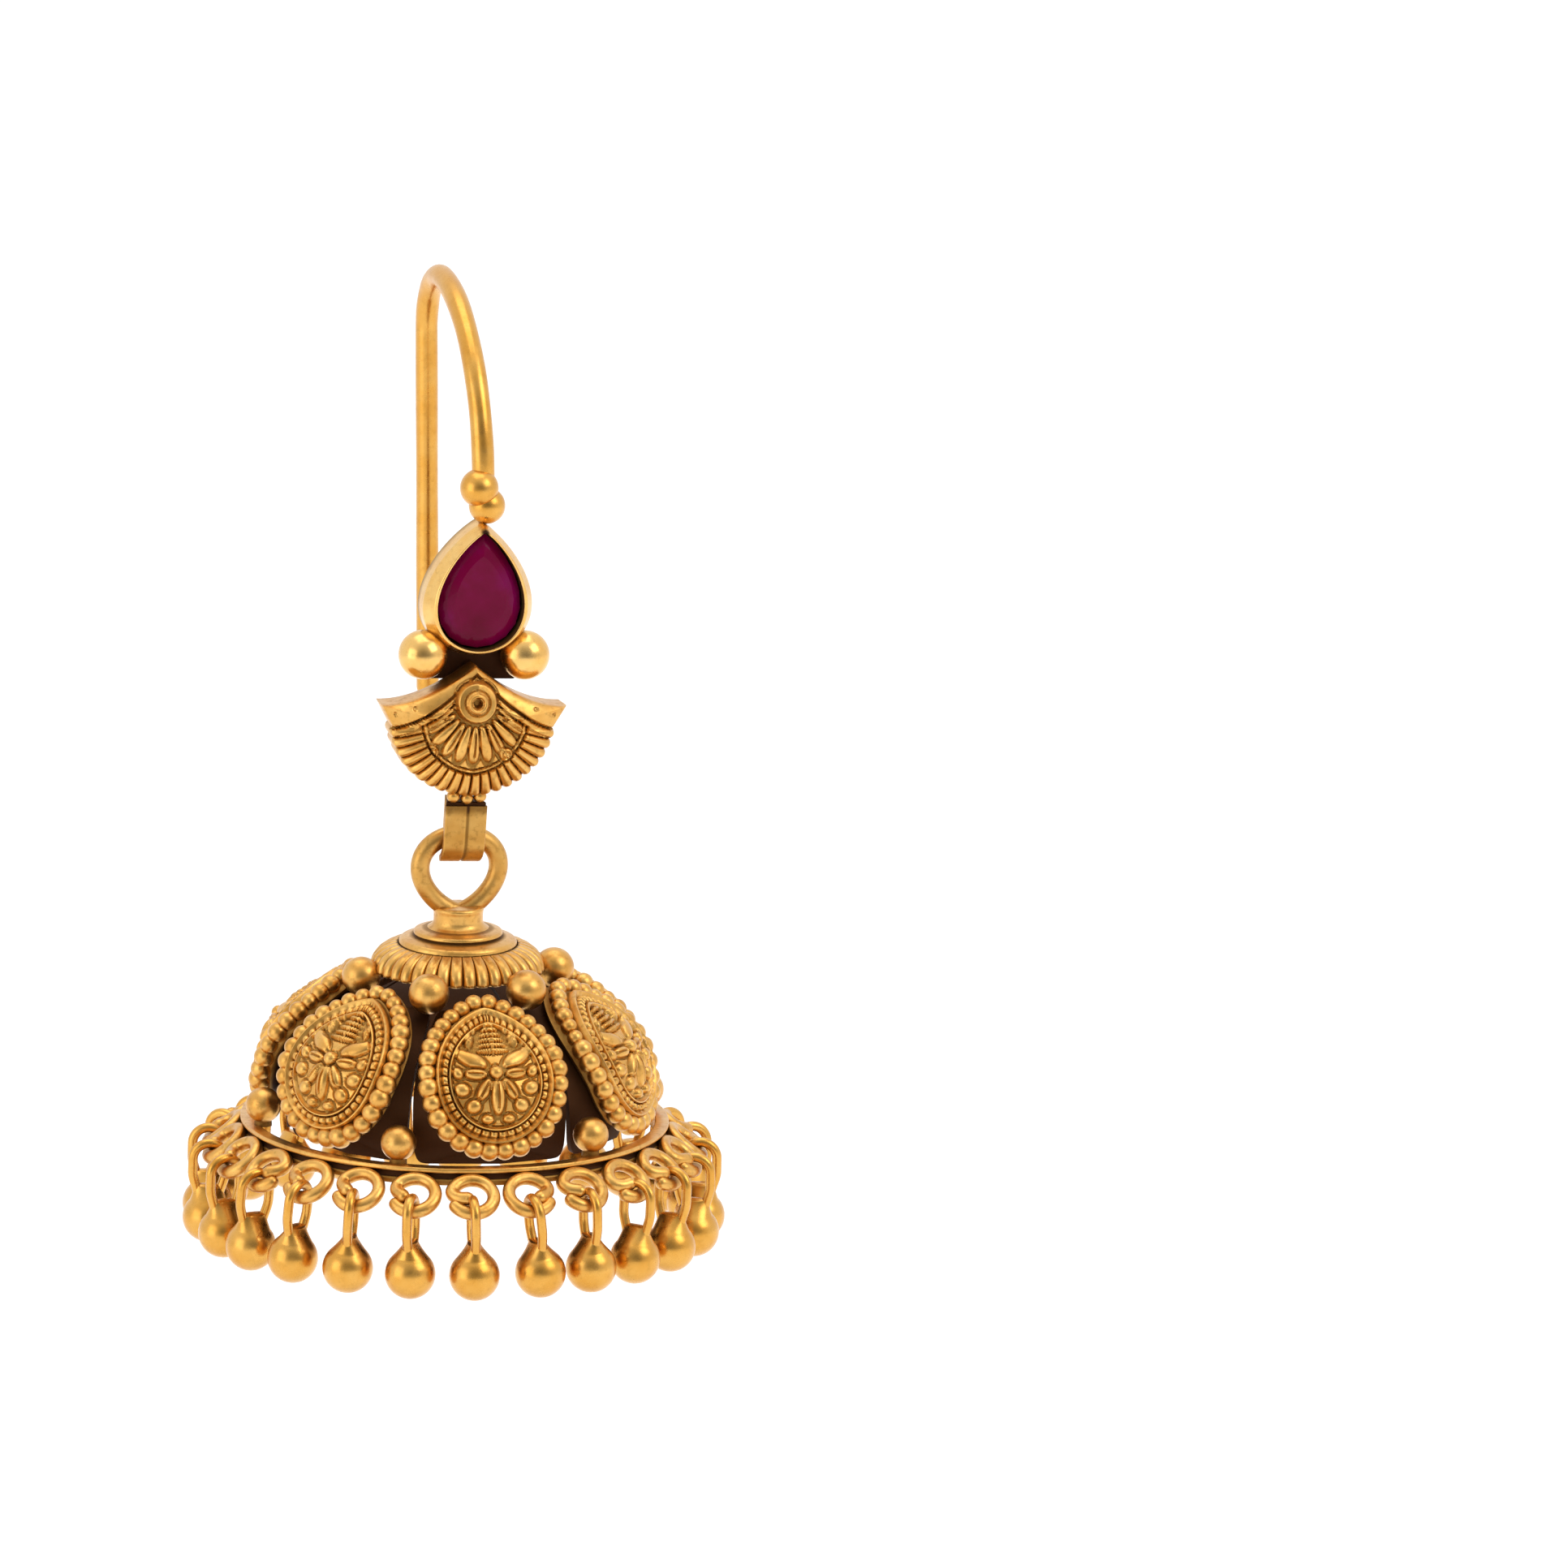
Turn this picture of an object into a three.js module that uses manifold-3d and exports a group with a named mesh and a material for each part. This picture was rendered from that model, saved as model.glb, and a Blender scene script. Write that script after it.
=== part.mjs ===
// A jhumka drop earring in antique gold with a pear-cut ruby.
// Millimetres, +Z up. The front faces -Y, and +X is to the right of someone who looks at it.
// The origin is on the ear wire's centreline at the top of its bend, where the earring hangs.

import * as THREE from 'three';
import { mergeVertices } from 'three/addons/utils/BufferGeometryUtils.js';
import Module from 'manifold-3d';

const wasm = await Module();
wasm.setup();

// General clearances
const CLEARANCE = 0.12; // between pieces that are soldered or seated on each other
const STONE_CLEARANCE = 0.1; // between the stone and its cup
const LINK_CLEARANCE = 0.1; // between a drop's loop and the eye that it hangs on

// Ear wire
const WIRE_D = 1.1;
const WIRE_SIDES = 10;
const HOOK_FRONT_REACH = 8.5; // from the top of the bend forward to the front leg
const HOOK_FRONT_DROP = 8.2; // from the top of the bend down to the front leg's foot
const HOOK_BACK_REACH = 3.5; // from the top of the bend back to the rear leg, the tight bend's radius
const HOOK_BACK_DROP = 21.6; // from the top of the bend down to the rear leg's end
const HOOK_FRONT_STEPS = 10;
const HOOK_BACK_STEPS = 6;

// Two collar beads that end the ear wire
const COLLAR_BEADS = [
  { radius: 0.95, side: -0.25, front: 0.2, below: 0.45 },
  { radius: 0.9, side: 0.2, front: 0.1, below: 1.15 },
];

// Everything below the ear wire's foot leans, because the wire was bent a little to one side
const LEAN_DEG = 3.66;

// Stone: a pear, point up
const STONE_W = 4.16;
const STONE_H = 5.77;
const STONE_SIDES = 20; // the cup has as many, so that the two stay clear of each other
const STONE_TAPER = 0.7; // how strongly the pear narrows to its point
const TABLE_SHARE = 0.62;
const CULET_SHARE = 0.35;
const CROWN_H = 0.4;
const PAVILION_H = 0.88;

// Bezel cup round the stone
const BEZEL_DROP = 5.5; // from the wire's foot down to the middle of the stone
const LIP_W = 0.16; // from the stone's cup out to the front lip's outer edge
const BEZEL_FLARE = 0.42; // from the front lip out to the base outline
const BEZEL_TIP_SHARE = 0.62; // how much less the outlines grow above and below than at the sides
const LIP_DEPTH = 0.8; // the sloping front wall
const BEZEL_FLOOR = 0.45;
const LIP_PROUD = 0.12; // how far the lip stands in front of the stone's table
const BEZEL_BACK = -0.75; // the bezel's back, in front of which everything is built, from the wire's line

// Plate and two balls between the bezel and the fan
const SIDE_BALL_R = 1.22;
const SIDE_BALL_SPACING = 5.15;
const SIDE_BALL_DROP = 8.85;
const SIDE_BALL_FRONT = 0.3;
const BRIDGE_W = 4.6;
const BRIDGE_H = 2.6;
const BRIDGE_T = 0.5;
const BRIDGE_DROP = 8.9;

// Fan plaque
const FAN_DROP = 11.75; // from the wire's foot down to the centre of the fan's arc
const FAN_R = 4.24;
const FAN_RIBS = 20;
const FAN_RIB_H = 0.16;
const FAN_ARC_START_DEG = -8; // where the ribbed arc starts below the horizontal, at each side
const FAN_TIP_SIDE = 4.7;
const FAN_TIP_UP = 0.6;
const FAN_APEX_UP = 2.6;
const FAN_HOLLOW_SIDE = 2.5; // control point of the hollow upper edges
const FAN_HOLLOW_UP = 0.55;
const FAN_EDGE_STEPS = 4;
const FAN_WALL = 1.3;
const FAN_DOME = 0.85;
const FAN_SIDE = -0.12; // how far the fan and the bail are set to one side
const FAN_CENTRE_UP = -0.3; // where the dome is highest
const BOSS_R = 1.0;
const BOSS_UP = 0.7;
const BOSS_PROUD = 0.35;
const BOSS_HOLE_R = 0.24;
const BOSS_HOLE_DEPTH = 0.35;
const BOSS_SIDES = 14;
const PETALS = 9;
const PETAL_INNER_R = 1.08;
const PETAL_OUTER_R = 2.48;
const PETAL_W = 0.46;
const PETAL_PROUD = 0.2;
const PETAL_SPREAD_DEG = 136;

// Bail strap: a short wide loop, its axis along X
const BAIL_W = 2.1;
const BAIL_T = 0.35;
const BAIL_INNER_R = 0.9;
const BAIL_DROP = 18.09; // from the wire's foot down to the middle of the strap's bend
const BAIL_STEPS = 12;
const BAIL_BAR_W = 2.56;
const BAIL_BAR_H = 0.38;

// The drop's own ring, neck and cap
const DROP_LEAN_DEG = 1.2; // the drop hangs a little to one side too
const RING_R = 1.98; // centreline
const RING_WIRE_D = 0.95;
const RING_SIDES = 6;
const RING_STEPS = 18;
const NECK_R = 1.27;
const NECK_H = 1.0;
const RING_TAPER = 0.25; // how far the ring is drawn to a point at the neck
const NECK_TOP_BELOW_RING = 1.66; // from the ring's centre down to the neck's top
const CAP_R = 4.3;
const CAP_H = 2.05; // from the neck's foot down to the cap's edge
const CAP_SEGMENTS = 30;
const CAP_WALL = 0.6;
const CAP_HOLLOW_BELOW = 1.0; // the hollow underside's middle below the neck's foot
const GADROON_DEPTH = 0.22;
// Outer profile of the cap, as shares of its radius and its height below the neck's foot
const CAP_PROFILE = [
  { radius: 0.505, below: 0.16 },
  { radius: 0.53, below: 0.28 },
  { radius: 0.66, below: 0.36 },
  { radius: 0.7, below: 0.5 },
];
// The gadrooned skirt below it: one rib for each segment of the cap
const SKIRT_PROFILE = [
  { radius: 0.92, below: 0.66 },
  { radius: 1, below: 1 },
];

// Rim band
const RIM_R = 10.5;
const RIM_BELOW_BELL = 0.15; // from the plaques' lower ends down to the rim's top edge
const RIM_WALL = 0.62;

// Bell: six pear plaques on a domed surface
const BELL_ABOVE_CAP_EDGE = 0.2; // the plaques' points stand a little higher than the cap's edge
const BELL_INSET = 0.45; // from the rim's outer face in to the dome's widest line
const BELL_R = RIM_R - BELL_INSET;
const BELL_H = 7.7;
// Outer profile of the dome that the plaques' fronts follow, as shares of its radius and height
const BELL_PROFILE = [
  { radius: 0.493, below: 0 },
  { radius: 0.612, below: 0.097 },
  { radius: 0.761, below: 0.227 },
  { radius: 0.878, below: 0.364 },
  { radius: 0.96, below: 0.526 },
  { radius: 0.995, below: 0.714 },
  { radius: 1, below: 0.883 },
  { radius: 0.987, below: 1 },
];
// Where each hand-set plaque stands, in degrees from the front toward +X
const PLAQUE_TURNS = [-1, 56, 117.5, 179, 241, 304];
const PLAQUE_W = 7.9;
const PLAQUE_T = 1.3;
const PLAQUE_TAPER = 0.42;
const PLAQUE_BEADS = 24;
// Rings of a plaque from its back edge to its front middle: share of the outline, depth behind the
// dome as a share of the thickness, how far every second point steps in, and points per bead
const PLAQUE_RINGS = [
  { share: 0.9, depth: 1, notch: 0.0, perBead: 1 },
  { share: 1.0, depth: 0.58, notch: 0.06, perBead: 2 },
  { share: 0.94, depth: 0.28, notch: 0.05, perBead: 2 },
  { share: 0.83, depth: 0.48, notch: 0.0, perBead: 1 },
  { share: 0.68, depth: 0.15, notch: 0.0, perBead: 1 },
];
const PLAQUE_BULGE = 0.2; // how far the middle stands in front of the innermost ring

// Dark backing wall that joins the back of each plaque and nearly meets its neighbours'
const BACKING_BEHIND = 0.3; // from the plaque's back edge to the backing's front
const BACKING_T = 0.3;
const BACKING_SHARE = 0.88; // of the plaque's height
const BACKING_SQUARENESS = 0.45; // 1 is an ellipse, and less is squarer
const BACKING_GAP = 0.4; // between two neighbours, on the dome's front surface

// Granules
const UPPER_GRANULE_R = 1.0;
// The hand-set upper granules: turn in degrees, then size and place out from the cap's edge and
// below it, as shares of that radius
const UPPER_GRANULES = [
  { turn: 30, size: 1, out: 0.62, below: 0.28 },
  { turn: 90, size: 1, out: 0.6, below: 0.28 },
  { turn: 150, size: 0.97, out: 0.6, below: 0.28 },
  { turn: 210, size: 0.82, out: 0.25, below: 0.5 },
  { turn: 270, size: 0.96, out: 0.56, below: 0.32 },
  { turn: 330, size: 1, out: 0.6, below: 0.28 },
];
const LOWER_GRANULE_R = 0.88;
const LOWER_GRANULE_INSET = 0.8; // from the rim's outer face in to the granules' middle
const LOWER_GRANULE_LIFT = 0.1; // its solder stands it a little above the rim
const LOWER_GRANULES = 6;
const LOWER_GRANULE_TURN_DEG = 30;
const STALK_R = 0.4; // its foot
const GRANULE_SEGMENTS = 10;
const GRANULE_BANDS = 5;

// Rim band's section
const RIM_H = 0.85;
const RIM_SEGMENTS = 50; // twice the fringe, so that each eye stands on the middle of a flat

// Fringe: eyes on the rim and the ball drops that hang on them
const FRINGE_COUNT = 25;
const FRINGE_TURN_DEG = 5.5;
const EYE_WIRE_D = 0.66;
const EYE_R = 1.0; // centreline
const EYE_SLOPE_DEG = 40;
const EYE_OVERLAP = 0.18; // how far the eye's wire is sunk into the rim's outer face
const EYE_BELOW_RIM_TOP = 0.52;
const EYE_SIDES = 5;
const EYE_STEPS = 10;
const LOOP_WIRE_D = 0.48;
const LOOP_R = 0.8; // centreline of the loop's round top
const LOOP_LEG = 0.75; // straight part below it
const LOOP_FOOT = 1.2; // the stretch where the legs close in, down into the ball
const LOOP_FOOT_HALF_W = 0.52;
const LOOP_SIDES = 5;
const BALL_R = 1.25;
const BALL_SEGMENTS = 10;
const BALL_BANDS = 4;
const BALL_FROM_DEG = 40; // where the drawn tip meets the ball, from its top
const BALL_TIP_ABOVE = 1.75; // the drawn tip above the ball's centre
const BALL_BELOW_LOOP = 3.0; // the ball's centre below the middle of the loop's round top
// How each drop hangs, in degrees, in order round the rim: its twist about its own length and its
// sway along the rim
const DROP_HANGS = [
  { twist: 4, sway: 7 }, { twist: -8, sway: 2 }, { twist: 6, sway: -2 }, { twist: -4, sway: -3 },
  { twist: 5, sway: 2 }, { twist: -6, sway: 4 }, { twist: 3, sway: -5 }, { twist: 8, sway: 1 },
  { twist: -5, sway: 5 }, { twist: 2, sway: -3 }, { twist: -7, sway: 2 }, { twist: 6, sway: 4 },
  { twist: -3, sway: -4 }, { twist: 7, sway: -1 }, { twist: -4, sway: 3 }, { twist: 5, sway: 5 },
  { twist: -8, sway: -2 }, { twist: 4, sway: 1 }, { twist: -5, sway: -4 }, { twist: 6, sway: -2 },
  { twist: -6, sway: -6 }, { twist: 3, sway: -6 }, { twist: 14, sway: -3 }, { twist: -5, sway: 0 },
  { twist: 4, sway: 2 },
];

const GOLD = { color: 0xdda032, roughness: 0.36, metalness: 1 };
const SATIN_GOLD = { color: 0xe8a838, roughness: 0.3, metalness: 1 };
const RUBY = { color: 0x5e0038, roughness: 0.12, metalness: 0 };

const rad = THREE.MathUtils.degToRad;

// Turns what is drawn in X and Y so that it stands in Y and Z, seen from the side
const SIDE_ON = new THREE.Matrix4().makeBasis(
  new THREE.Vector3(0, 1, 0), new THREE.Vector3(0, 0, 1), new THREE.Vector3(1, 0, 0));

// A closed three.js geometry as a manifold solid
function toSolid(geometry) {
  const bare = geometry.clone();
  bare.deleteAttribute('normal');
  bare.deleteAttribute('uv');
  const merged = mergeVertices(bare, 1e-5);
  return new wasm.Manifold(new wasm.Mesh({
    numProp: 3,
    vertProperties: new Float32Array(merged.attributes.position.array),
    triVerts: new Uint32Array(merged.index.array),
  }));
}

function toGeometry(solid) {
  const mesh = solid.getMesh();
  const geometry = new THREE.BufferGeometry();
  geometry.setAttribute('position', new THREE.BufferAttribute(mesh.vertProperties, 3));
  geometry.setIndex(new THREE.BufferAttribute(mesh.triVerts, 1));
  geometry.computeVertexNormals();
  return geometry;
}

function join(geometries) {
  return geometries.map(toSolid).reduce((sum, solid) => sum.add(solid));
}

function makeMesh(name, solid, look) {
  const mesh = new THREE.Mesh(toGeometry(solid), new THREE.MeshStandardMaterial(look));
  mesh.name = name;
  return mesh;
}

// A skin over rings of points. Two neighbouring rings hold as many points as each other, or one
// holds twice as many. A ring of one point closes an end; a wrapped loft joins its last ring to its first.
function loft(rings, wrap = false) {
  const positions = rings.flat().flatMap((p) => [p.x, p.y, p.z]);
  const starts = [];
  rings.reduce((start, ring) => {
    starts.push(start);
    return start + ring.length;
  }, 0);
  const index = [];
  const strips = wrap ? rings.length : rings.length - 1;
  for (let k = 0; k < strips; k++) {
    const m = (k + 1) % rings.length;
    const na = rings[k].length;
    const nb = rings[m].length;
    const a = (i) => starts[k] + (i % na);
    const b = (i) => starts[m] + (i % nb);
    const steps = Math.min(na, nb) === 1 ? Math.max(na, nb) : Math.min(na, nb);
    for (let i = 0; i < steps; i++) {
      if (na === 1) index.push(a(0), b(i + 1), b(i));
      else if (nb === 1) index.push(a(i), a(i + 1), b(0));
      else if (na === nb) index.push(a(i), a(i + 1), b(i), a(i + 1), b(i + 1), b(i));
      else if (na === 2 * nb) {
        index.push(a(2 * i), a(2 * i + 1), b(i));
        index.push(a(2 * i + 1), b(i + 1), b(i), a(2 * i + 1), a(2 * i + 2), b(i + 1));
      } else {
        index.push(a(i), b(2 * i + 1), b(2 * i));
        index.push(a(i), a(i + 1), b(2 * i + 1), a(i + 1), b(2 * i + 2), b(2 * i + 1));
      }
    }
  }
  const geometry = new THREE.BufferGeometry();
  geometry.setAttribute('position', new THREE.Float32BufferAttribute(positions, 3));
  geometry.setIndex(index);
  return geometry;
}

// A round wire along a flat path in the XY plane
function flatWire(path, diameter, sides, closed) {
  const last = path.length - 1;
  const rings = path.map((p, i) => {
    const before = path[closed ? (i + last) % (last + 1) : Math.max(i - 1, 0)];
    const after = path[closed ? (i + 1) % (last + 1) : Math.min(i + 1, last)];
    const along = after.clone().sub(before).normalize();
    const ring = [];
    for (let k = 0; k < sides; k++) {
      const turn = (2 * Math.PI * (k + 0.5)) / sides;
      const out = (Math.cos(turn) * diameter) / 2;
      ring.push(new THREE.Vector3(p.x - along.y * out, p.y + along.x * out, (Math.sin(turn) * diameter) / 2));
    }
    return ring;
  });
  if (closed) return loft(rings, true);
  const point = (p) => [new THREE.Vector3(p.x, p.y, 0)];
  return loft([point(path[0]), ...rings, point(path[last])]);
}

function ball(radius, segments, bands, at) {
  const geometry = new THREE.SphereGeometry(radius, segments, bands);
  geometry.rotateX(Math.PI / 2);
  return geometry.translate(at.x, at.y, at.z);
}

// A point of a pear outline one unit wide and tall, centred on its height: t runs from its point
// at 0, down one side to its foot at PI and up the other
function pearPoint(t, taper) {
  const swell = (s) => Math.sin(s) * Math.pow(Math.abs(Math.sin(s / 2)), taper);
  const widest = swell(Math.acos(-taper / (2 + taper)));
  return new THREE.Vector2(swell(t) / widest / 2, Math.cos(t) / 2);
}

function pearRing(width, height, taper, sides, depth) {
  const ring = [];
  for (let i = 0; i < sides; i++) {
    const p = pearPoint((2 * Math.PI * i) / sides, taper);
    ring.push(new THREE.Vector3(p.x * width, depth, p.y * height));
  }
  return ring;
}

// The ear wire: a broad front arch, a tight rear bend and a straight rear leg, with its collar beads
function earHook() {
  const path = [];
  for (let i = 0; i <= HOOK_FRONT_STEPS; i++) {
    const t = ((Math.PI / 2) * i) / HOOK_FRONT_STEPS;
    path.push(new THREE.Vector2(-HOOK_FRONT_REACH * Math.cos(t), -HOOK_FRONT_DROP * (1 - Math.sin(t))));
  }
  for (let i = 1; i <= HOOK_BACK_STEPS; i++) {
    const t = ((Math.PI / 2) * i) / HOOK_BACK_STEPS;
    path.push(new THREE.Vector2(HOOK_BACK_REACH * Math.sin(t), -HOOK_BACK_REACH * (1 - Math.cos(t))));
  }
  path.push(new THREE.Vector2(HOOK_BACK_REACH, -HOOK_BACK_DROP));
  const wire = flatWire(path, WIRE_D, WIRE_SIDES, false);
  wire.applyMatrix4(SIDE_ON);
  const beads = COLLAR_BEADS.map((bead) => ball(bead.radius, 10, 6, new THREE.Vector3(
    bead.side, -HOOK_FRONT_REACH - bead.front, -HOOK_FRONT_DROP - bead.below)));
  return makeMesh('ear_hook', join([wire, ...beads]), SATIN_GOLD);
}

// Depths of the setting, measured forward (-Y) from the wire's line
const FLOOR_FRONT = BEZEL_BACK + BEZEL_FLOOR;
const CULET_FRONT = FLOOR_FRONT + STONE_CLEARANCE;
const GIRDLE_FRONT = CULET_FRONT + PAVILION_H;
const TABLE_FRONT = GIRDLE_FRONT + CROWN_H;
const BEZEL_FRONT = TABLE_FRONT + LIP_PROUD;

function rubyStone() {
  const ring = (share, front) => pearRing(STONE_W * share, STONE_H * share, STONE_TAPER, STONE_SIDES, -front);
  const rings = [ring(TABLE_SHARE, TABLE_FRONT), ring(1, GIRDLE_FRONT), ring(CULET_SHARE, CULET_FRONT)];
  const middle = (front) => [new THREE.Vector3(0, -front, 0)];
  return makeMesh('ruby_stone', toSolid(loft([middle(TABLE_FRONT), ...rings, middle(CULET_FRONT)])), RUBY);
}

function bezelSetting() {
  const cup = 2 * STONE_CLEARANCE;
  const lip = cup + 2 * LIP_W;
  const base = lip + 2 * BEZEL_FLARE;
  const ring = (grow, front) => pearRing(
    STONE_W + grow, STONE_H + cup + (grow - cup) * BEZEL_TIP_SHARE, STONE_TAPER, STONE_SIDES, -front);
  const middle = (front) => [new THREE.Vector3(0, -front, 0)];
  const shell = loft([
    middle(FLOOR_FRONT), ring(cup, FLOOR_FRONT), ring(cup, BEZEL_FRONT), ring(lip, BEZEL_FRONT),
    ring(base, BEZEL_FRONT - LIP_DEPTH), ring(base, BEZEL_BACK), middle(BEZEL_BACK),
  ]);
  const below = BEZEL_DROP - SIDE_BALL_DROP;
  const balls = [-1, 1].map((side) => ball(SIDE_BALL_R, 12, 7, new THREE.Vector3(
    (side * SIDE_BALL_SPACING) / 2, -SIDE_BALL_FRONT, below)));
  const bridge = new THREE.BoxGeometry(BRIDGE_W, BRIDGE_T, BRIDGE_H);
  bridge.translate(0, -BEZEL_BACK - BRIDGE_T / 2, BEZEL_DROP - BRIDGE_DROP);
  return makeMesh('bezel_setting', join([shell, bridge, ...balls]), GOLD);
}

// Outline of the fan about the centre of its arc, from the apex clockwise, with the rib count's
// points along the arc
function fanOutline() {
  const start = rad(FAN_ARC_START_DEG);
  const sweep = Math.PI + 2 * start;
  const edge = new THREE.QuadraticBezierCurve(
    new THREE.Vector2(0, FAN_APEX_UP), new THREE.Vector2(FAN_HOLLOW_SIDE, FAN_HOLLOW_UP),
    new THREE.Vector2(FAN_TIP_SIDE, FAN_TIP_UP)).getPoints(FAN_EDGE_STEPS);
  const outline = edge.map((p) => ({ at: p, rib: false }));
  const arcPoints = 2 * FAN_RIBS;
  for (let i = 0; i <= arcPoints; i++) {
    const turn = start - (sweep * i) / arcPoints;
    const r = FAN_R - (i % 2 ? 0 : FAN_RIB_H / 2);
    outline.push({ at: new THREE.Vector2(r * Math.cos(turn), r * Math.sin(turn)), rib: i % 2 === 1 });
  }
  edge.slice(1).reverse().forEach((p) => outline.push({ at: new THREE.Vector2(-p.x, p.y), rib: false }));
  return outline;
}

function fanPlaque() {
  const back = BEZEL_BACK + BRIDGE_T + CLEARANCE;
  const front = back + FAN_WALL;
  const outline = fanOutline();
  const centre = new THREE.Vector2(0, FAN_CENTRE_UP);
  const dome = (share) => front + FAN_DOME * Math.sqrt(1 - share * share);
  const ring = (share, depth) => outline.map(({ at, rib }) => {
    const p = centre.clone().lerp(at, share);
    return new THREE.Vector3(p.x, -(depth + (rib ? FAN_RIB_H : 0)), p.y);
  });
  const flat = outline.map(({ at }) => new THREE.Vector3(at.x, -back, at.y));
  const body = loft([
    [new THREE.Vector3(0, -back, FAN_CENTRE_UP)], flat, ring(1, front), ring(0.86, dome(0.86)),
    ring(0.62, dome(0.62)), [new THREE.Vector3(0, -dome(0), FAN_CENTRE_UP)],
  ].reverse());
  const top = front + FAN_DOME;
  const pieces = [toSolid(body)];
  for (let i = 0; i < PETALS; i++) {
    const turn = rad(-90 - PETAL_SPREAD_DEG / 2 + (PETAL_SPREAD_DEG * i) / (PETALS - 1));
    const reach = (PETAL_INNER_R + PETAL_OUTER_R) / 2;
    const petal = new THREE.SphereGeometry(1, 6, 4);
    petal.scale((PETAL_OUTER_R - PETAL_INNER_R) / 2, PETAL_W / 2, FAN_DOME * 0.5 + PETAL_PROUD);
    petal.rotateX(Math.PI / 2);
    petal.rotateY(-turn);
    petal.translate(reach * Math.cos(turn), -(dome(0.55) - FAN_DOME * 0.5), BOSS_UP + reach * Math.sin(turn));
    pieces.push(toSolid(petal));
  }
  const boss = new THREE.CylinderGeometry(BOSS_R * 0.8, BOSS_R, FAN_DOME, BOSS_SIDES);
  boss.rotateX(Math.PI);
  boss.translate(0, -(top - FAN_DOME / 2 + BOSS_PROUD), BOSS_UP);
  pieces.push(toSolid(boss));
  const hole = new THREE.CylinderGeometry(BOSS_HOLE_R, BOSS_HOLE_R, 2 * BOSS_HOLE_DEPTH, 8);
  hole.translate(0, -(top + BOSS_PROUD), BOSS_UP);
  const solid = pieces.reduce((sum, piece) => sum.add(piece)).subtract(toSolid(hole));
  return makeMesh('fan_plaque', solid, GOLD);
}

// The bail: a strap bent round under the drop's ring and closed by a bar below the fan
function bailLoop() {
  const outer = BAIL_INNER_R + BAIL_T;
  const barTop = BAIL_DROP - FAN_DROP - FAN_R - CLEARANCE;
  const barFoot = barTop - BAIL_BAR_H;
  const outline = (Path, r, top) => {
    const path = new Path();
    path.moveTo(r, top);
    path.lineTo(-r, top);
    for (let i = 0; i <= BAIL_STEPS; i++) {
      const turn = Math.PI + (Math.PI * i) / BAIL_STEPS;
      path.lineTo(r * Math.cos(turn), r * Math.sin(turn));
    }
    return path;
  };
  const shape = outline(THREE.Shape, outer, barFoot + BAIL_BAR_H / 2);
  shape.holes.push(outline(THREE.Path, BAIL_INNER_R, barFoot));
  const strap = new THREE.ExtrudeGeometry(shape, { depth: BAIL_W, bevelEnabled: false });
  strap.translate(0, 0, -BAIL_W / 2);
  const bar = new THREE.BoxGeometry(2 * BAIL_INNER_R, BAIL_BAR_H, BAIL_BAR_W);
  bar.translate(0, barFoot + BAIL_BAR_H / 2, 0);
  const solid = join([strap, bar].map((geometry) => geometry.applyMatrix4(SIDE_ON)));
  return makeMesh('bail_loop', solid, GOLD);
}

// A body turned about Z from rows of radius and height, given from the top down. A row may hold
// twice the segments, with every second point set in by its notch.
function turned(rows, segments, wrap = false) {
  const rings = rows.map(({ radius, z, notch }) => {
    if (radius === 0) return [new THREE.Vector3(0, 0, z)];
    const ring = [];
    const count = notch === undefined ? segments : 2 * segments;
    for (let i = 0; i < count; i++) {
      const turn = (2 * Math.PI * i) / count;
      const r = radius - (notch && i % 2 ? notch : 0);
      ring.push(new THREE.Vector3(r * Math.sin(turn), -r * Math.cos(turn), z));
    }
    return ring;
  });
  return loft(rings.reverse(), wrap);
}

// Heights in the drop, measured from the middle of its ring
const NECK_TOP = -NECK_TOP_BELOW_RING;
const NECK_FOOT = NECK_TOP - NECK_H;
const BELL_TOP = NECK_FOOT - CAP_H + BELL_ABOVE_CAP_EDGE;
const BELL_FOOT = BELL_TOP - BELL_H;
const RIM_TOP = BELL_FOOT - RIM_BELOW_BELL;

// The ring that hangs in the bail, its neck and the gadrooned cap, with the upper granules
function dropCap() {
  const path = [];
  for (let i = 0; i < RING_STEPS; i++) {
    const p = pearPoint((2 * Math.PI * i) / RING_STEPS, RING_TAPER);
    path.push(new THREE.Vector2(p.x, p.y).multiplyScalar(2 * RING_R));
  }
  const ring = flatWire(path, RING_WIRE_D, RING_SIDES, true);
  ring.rotateX(-Math.PI / 2);
  const row = ({ radius, below }, notch) => ({ radius: CAP_R * radius, z: NECK_FOOT - CAP_H * below, notch });
  const body = turned([
    { radius: 0, z: NECK_TOP },
    { radius: NECK_R, z: NECK_TOP },
    { radius: NECK_R, z: NECK_FOOT },
    ...CAP_PROFILE.map((point) => row(point)),
    ...SKIRT_PROFILE.map((point) => row(point, GADROON_DEPTH)),
    { radius: CAP_R - CAP_WALL, z: NECK_FOOT - CAP_H },
    { radius: 0, z: NECK_FOOT - CAP_HOLLOW_BELOW },
  ], CAP_SEGMENTS);
  const granules = UPPER_GRANULES.map(({ turn, size, out, below }) => ball(
    UPPER_GRANULE_R * size, GRANULE_SEGMENTS, GRANULE_BANDS, new THREE.Vector3(
      0, -CAP_R - UPPER_GRANULE_R * out, NECK_FOOT - CAP_H - UPPER_GRANULE_R * below)).rotateZ(rad(turn)));
  return makeMesh('drop_cap', join([ring, body, ...granules]), GOLD);
}

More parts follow.
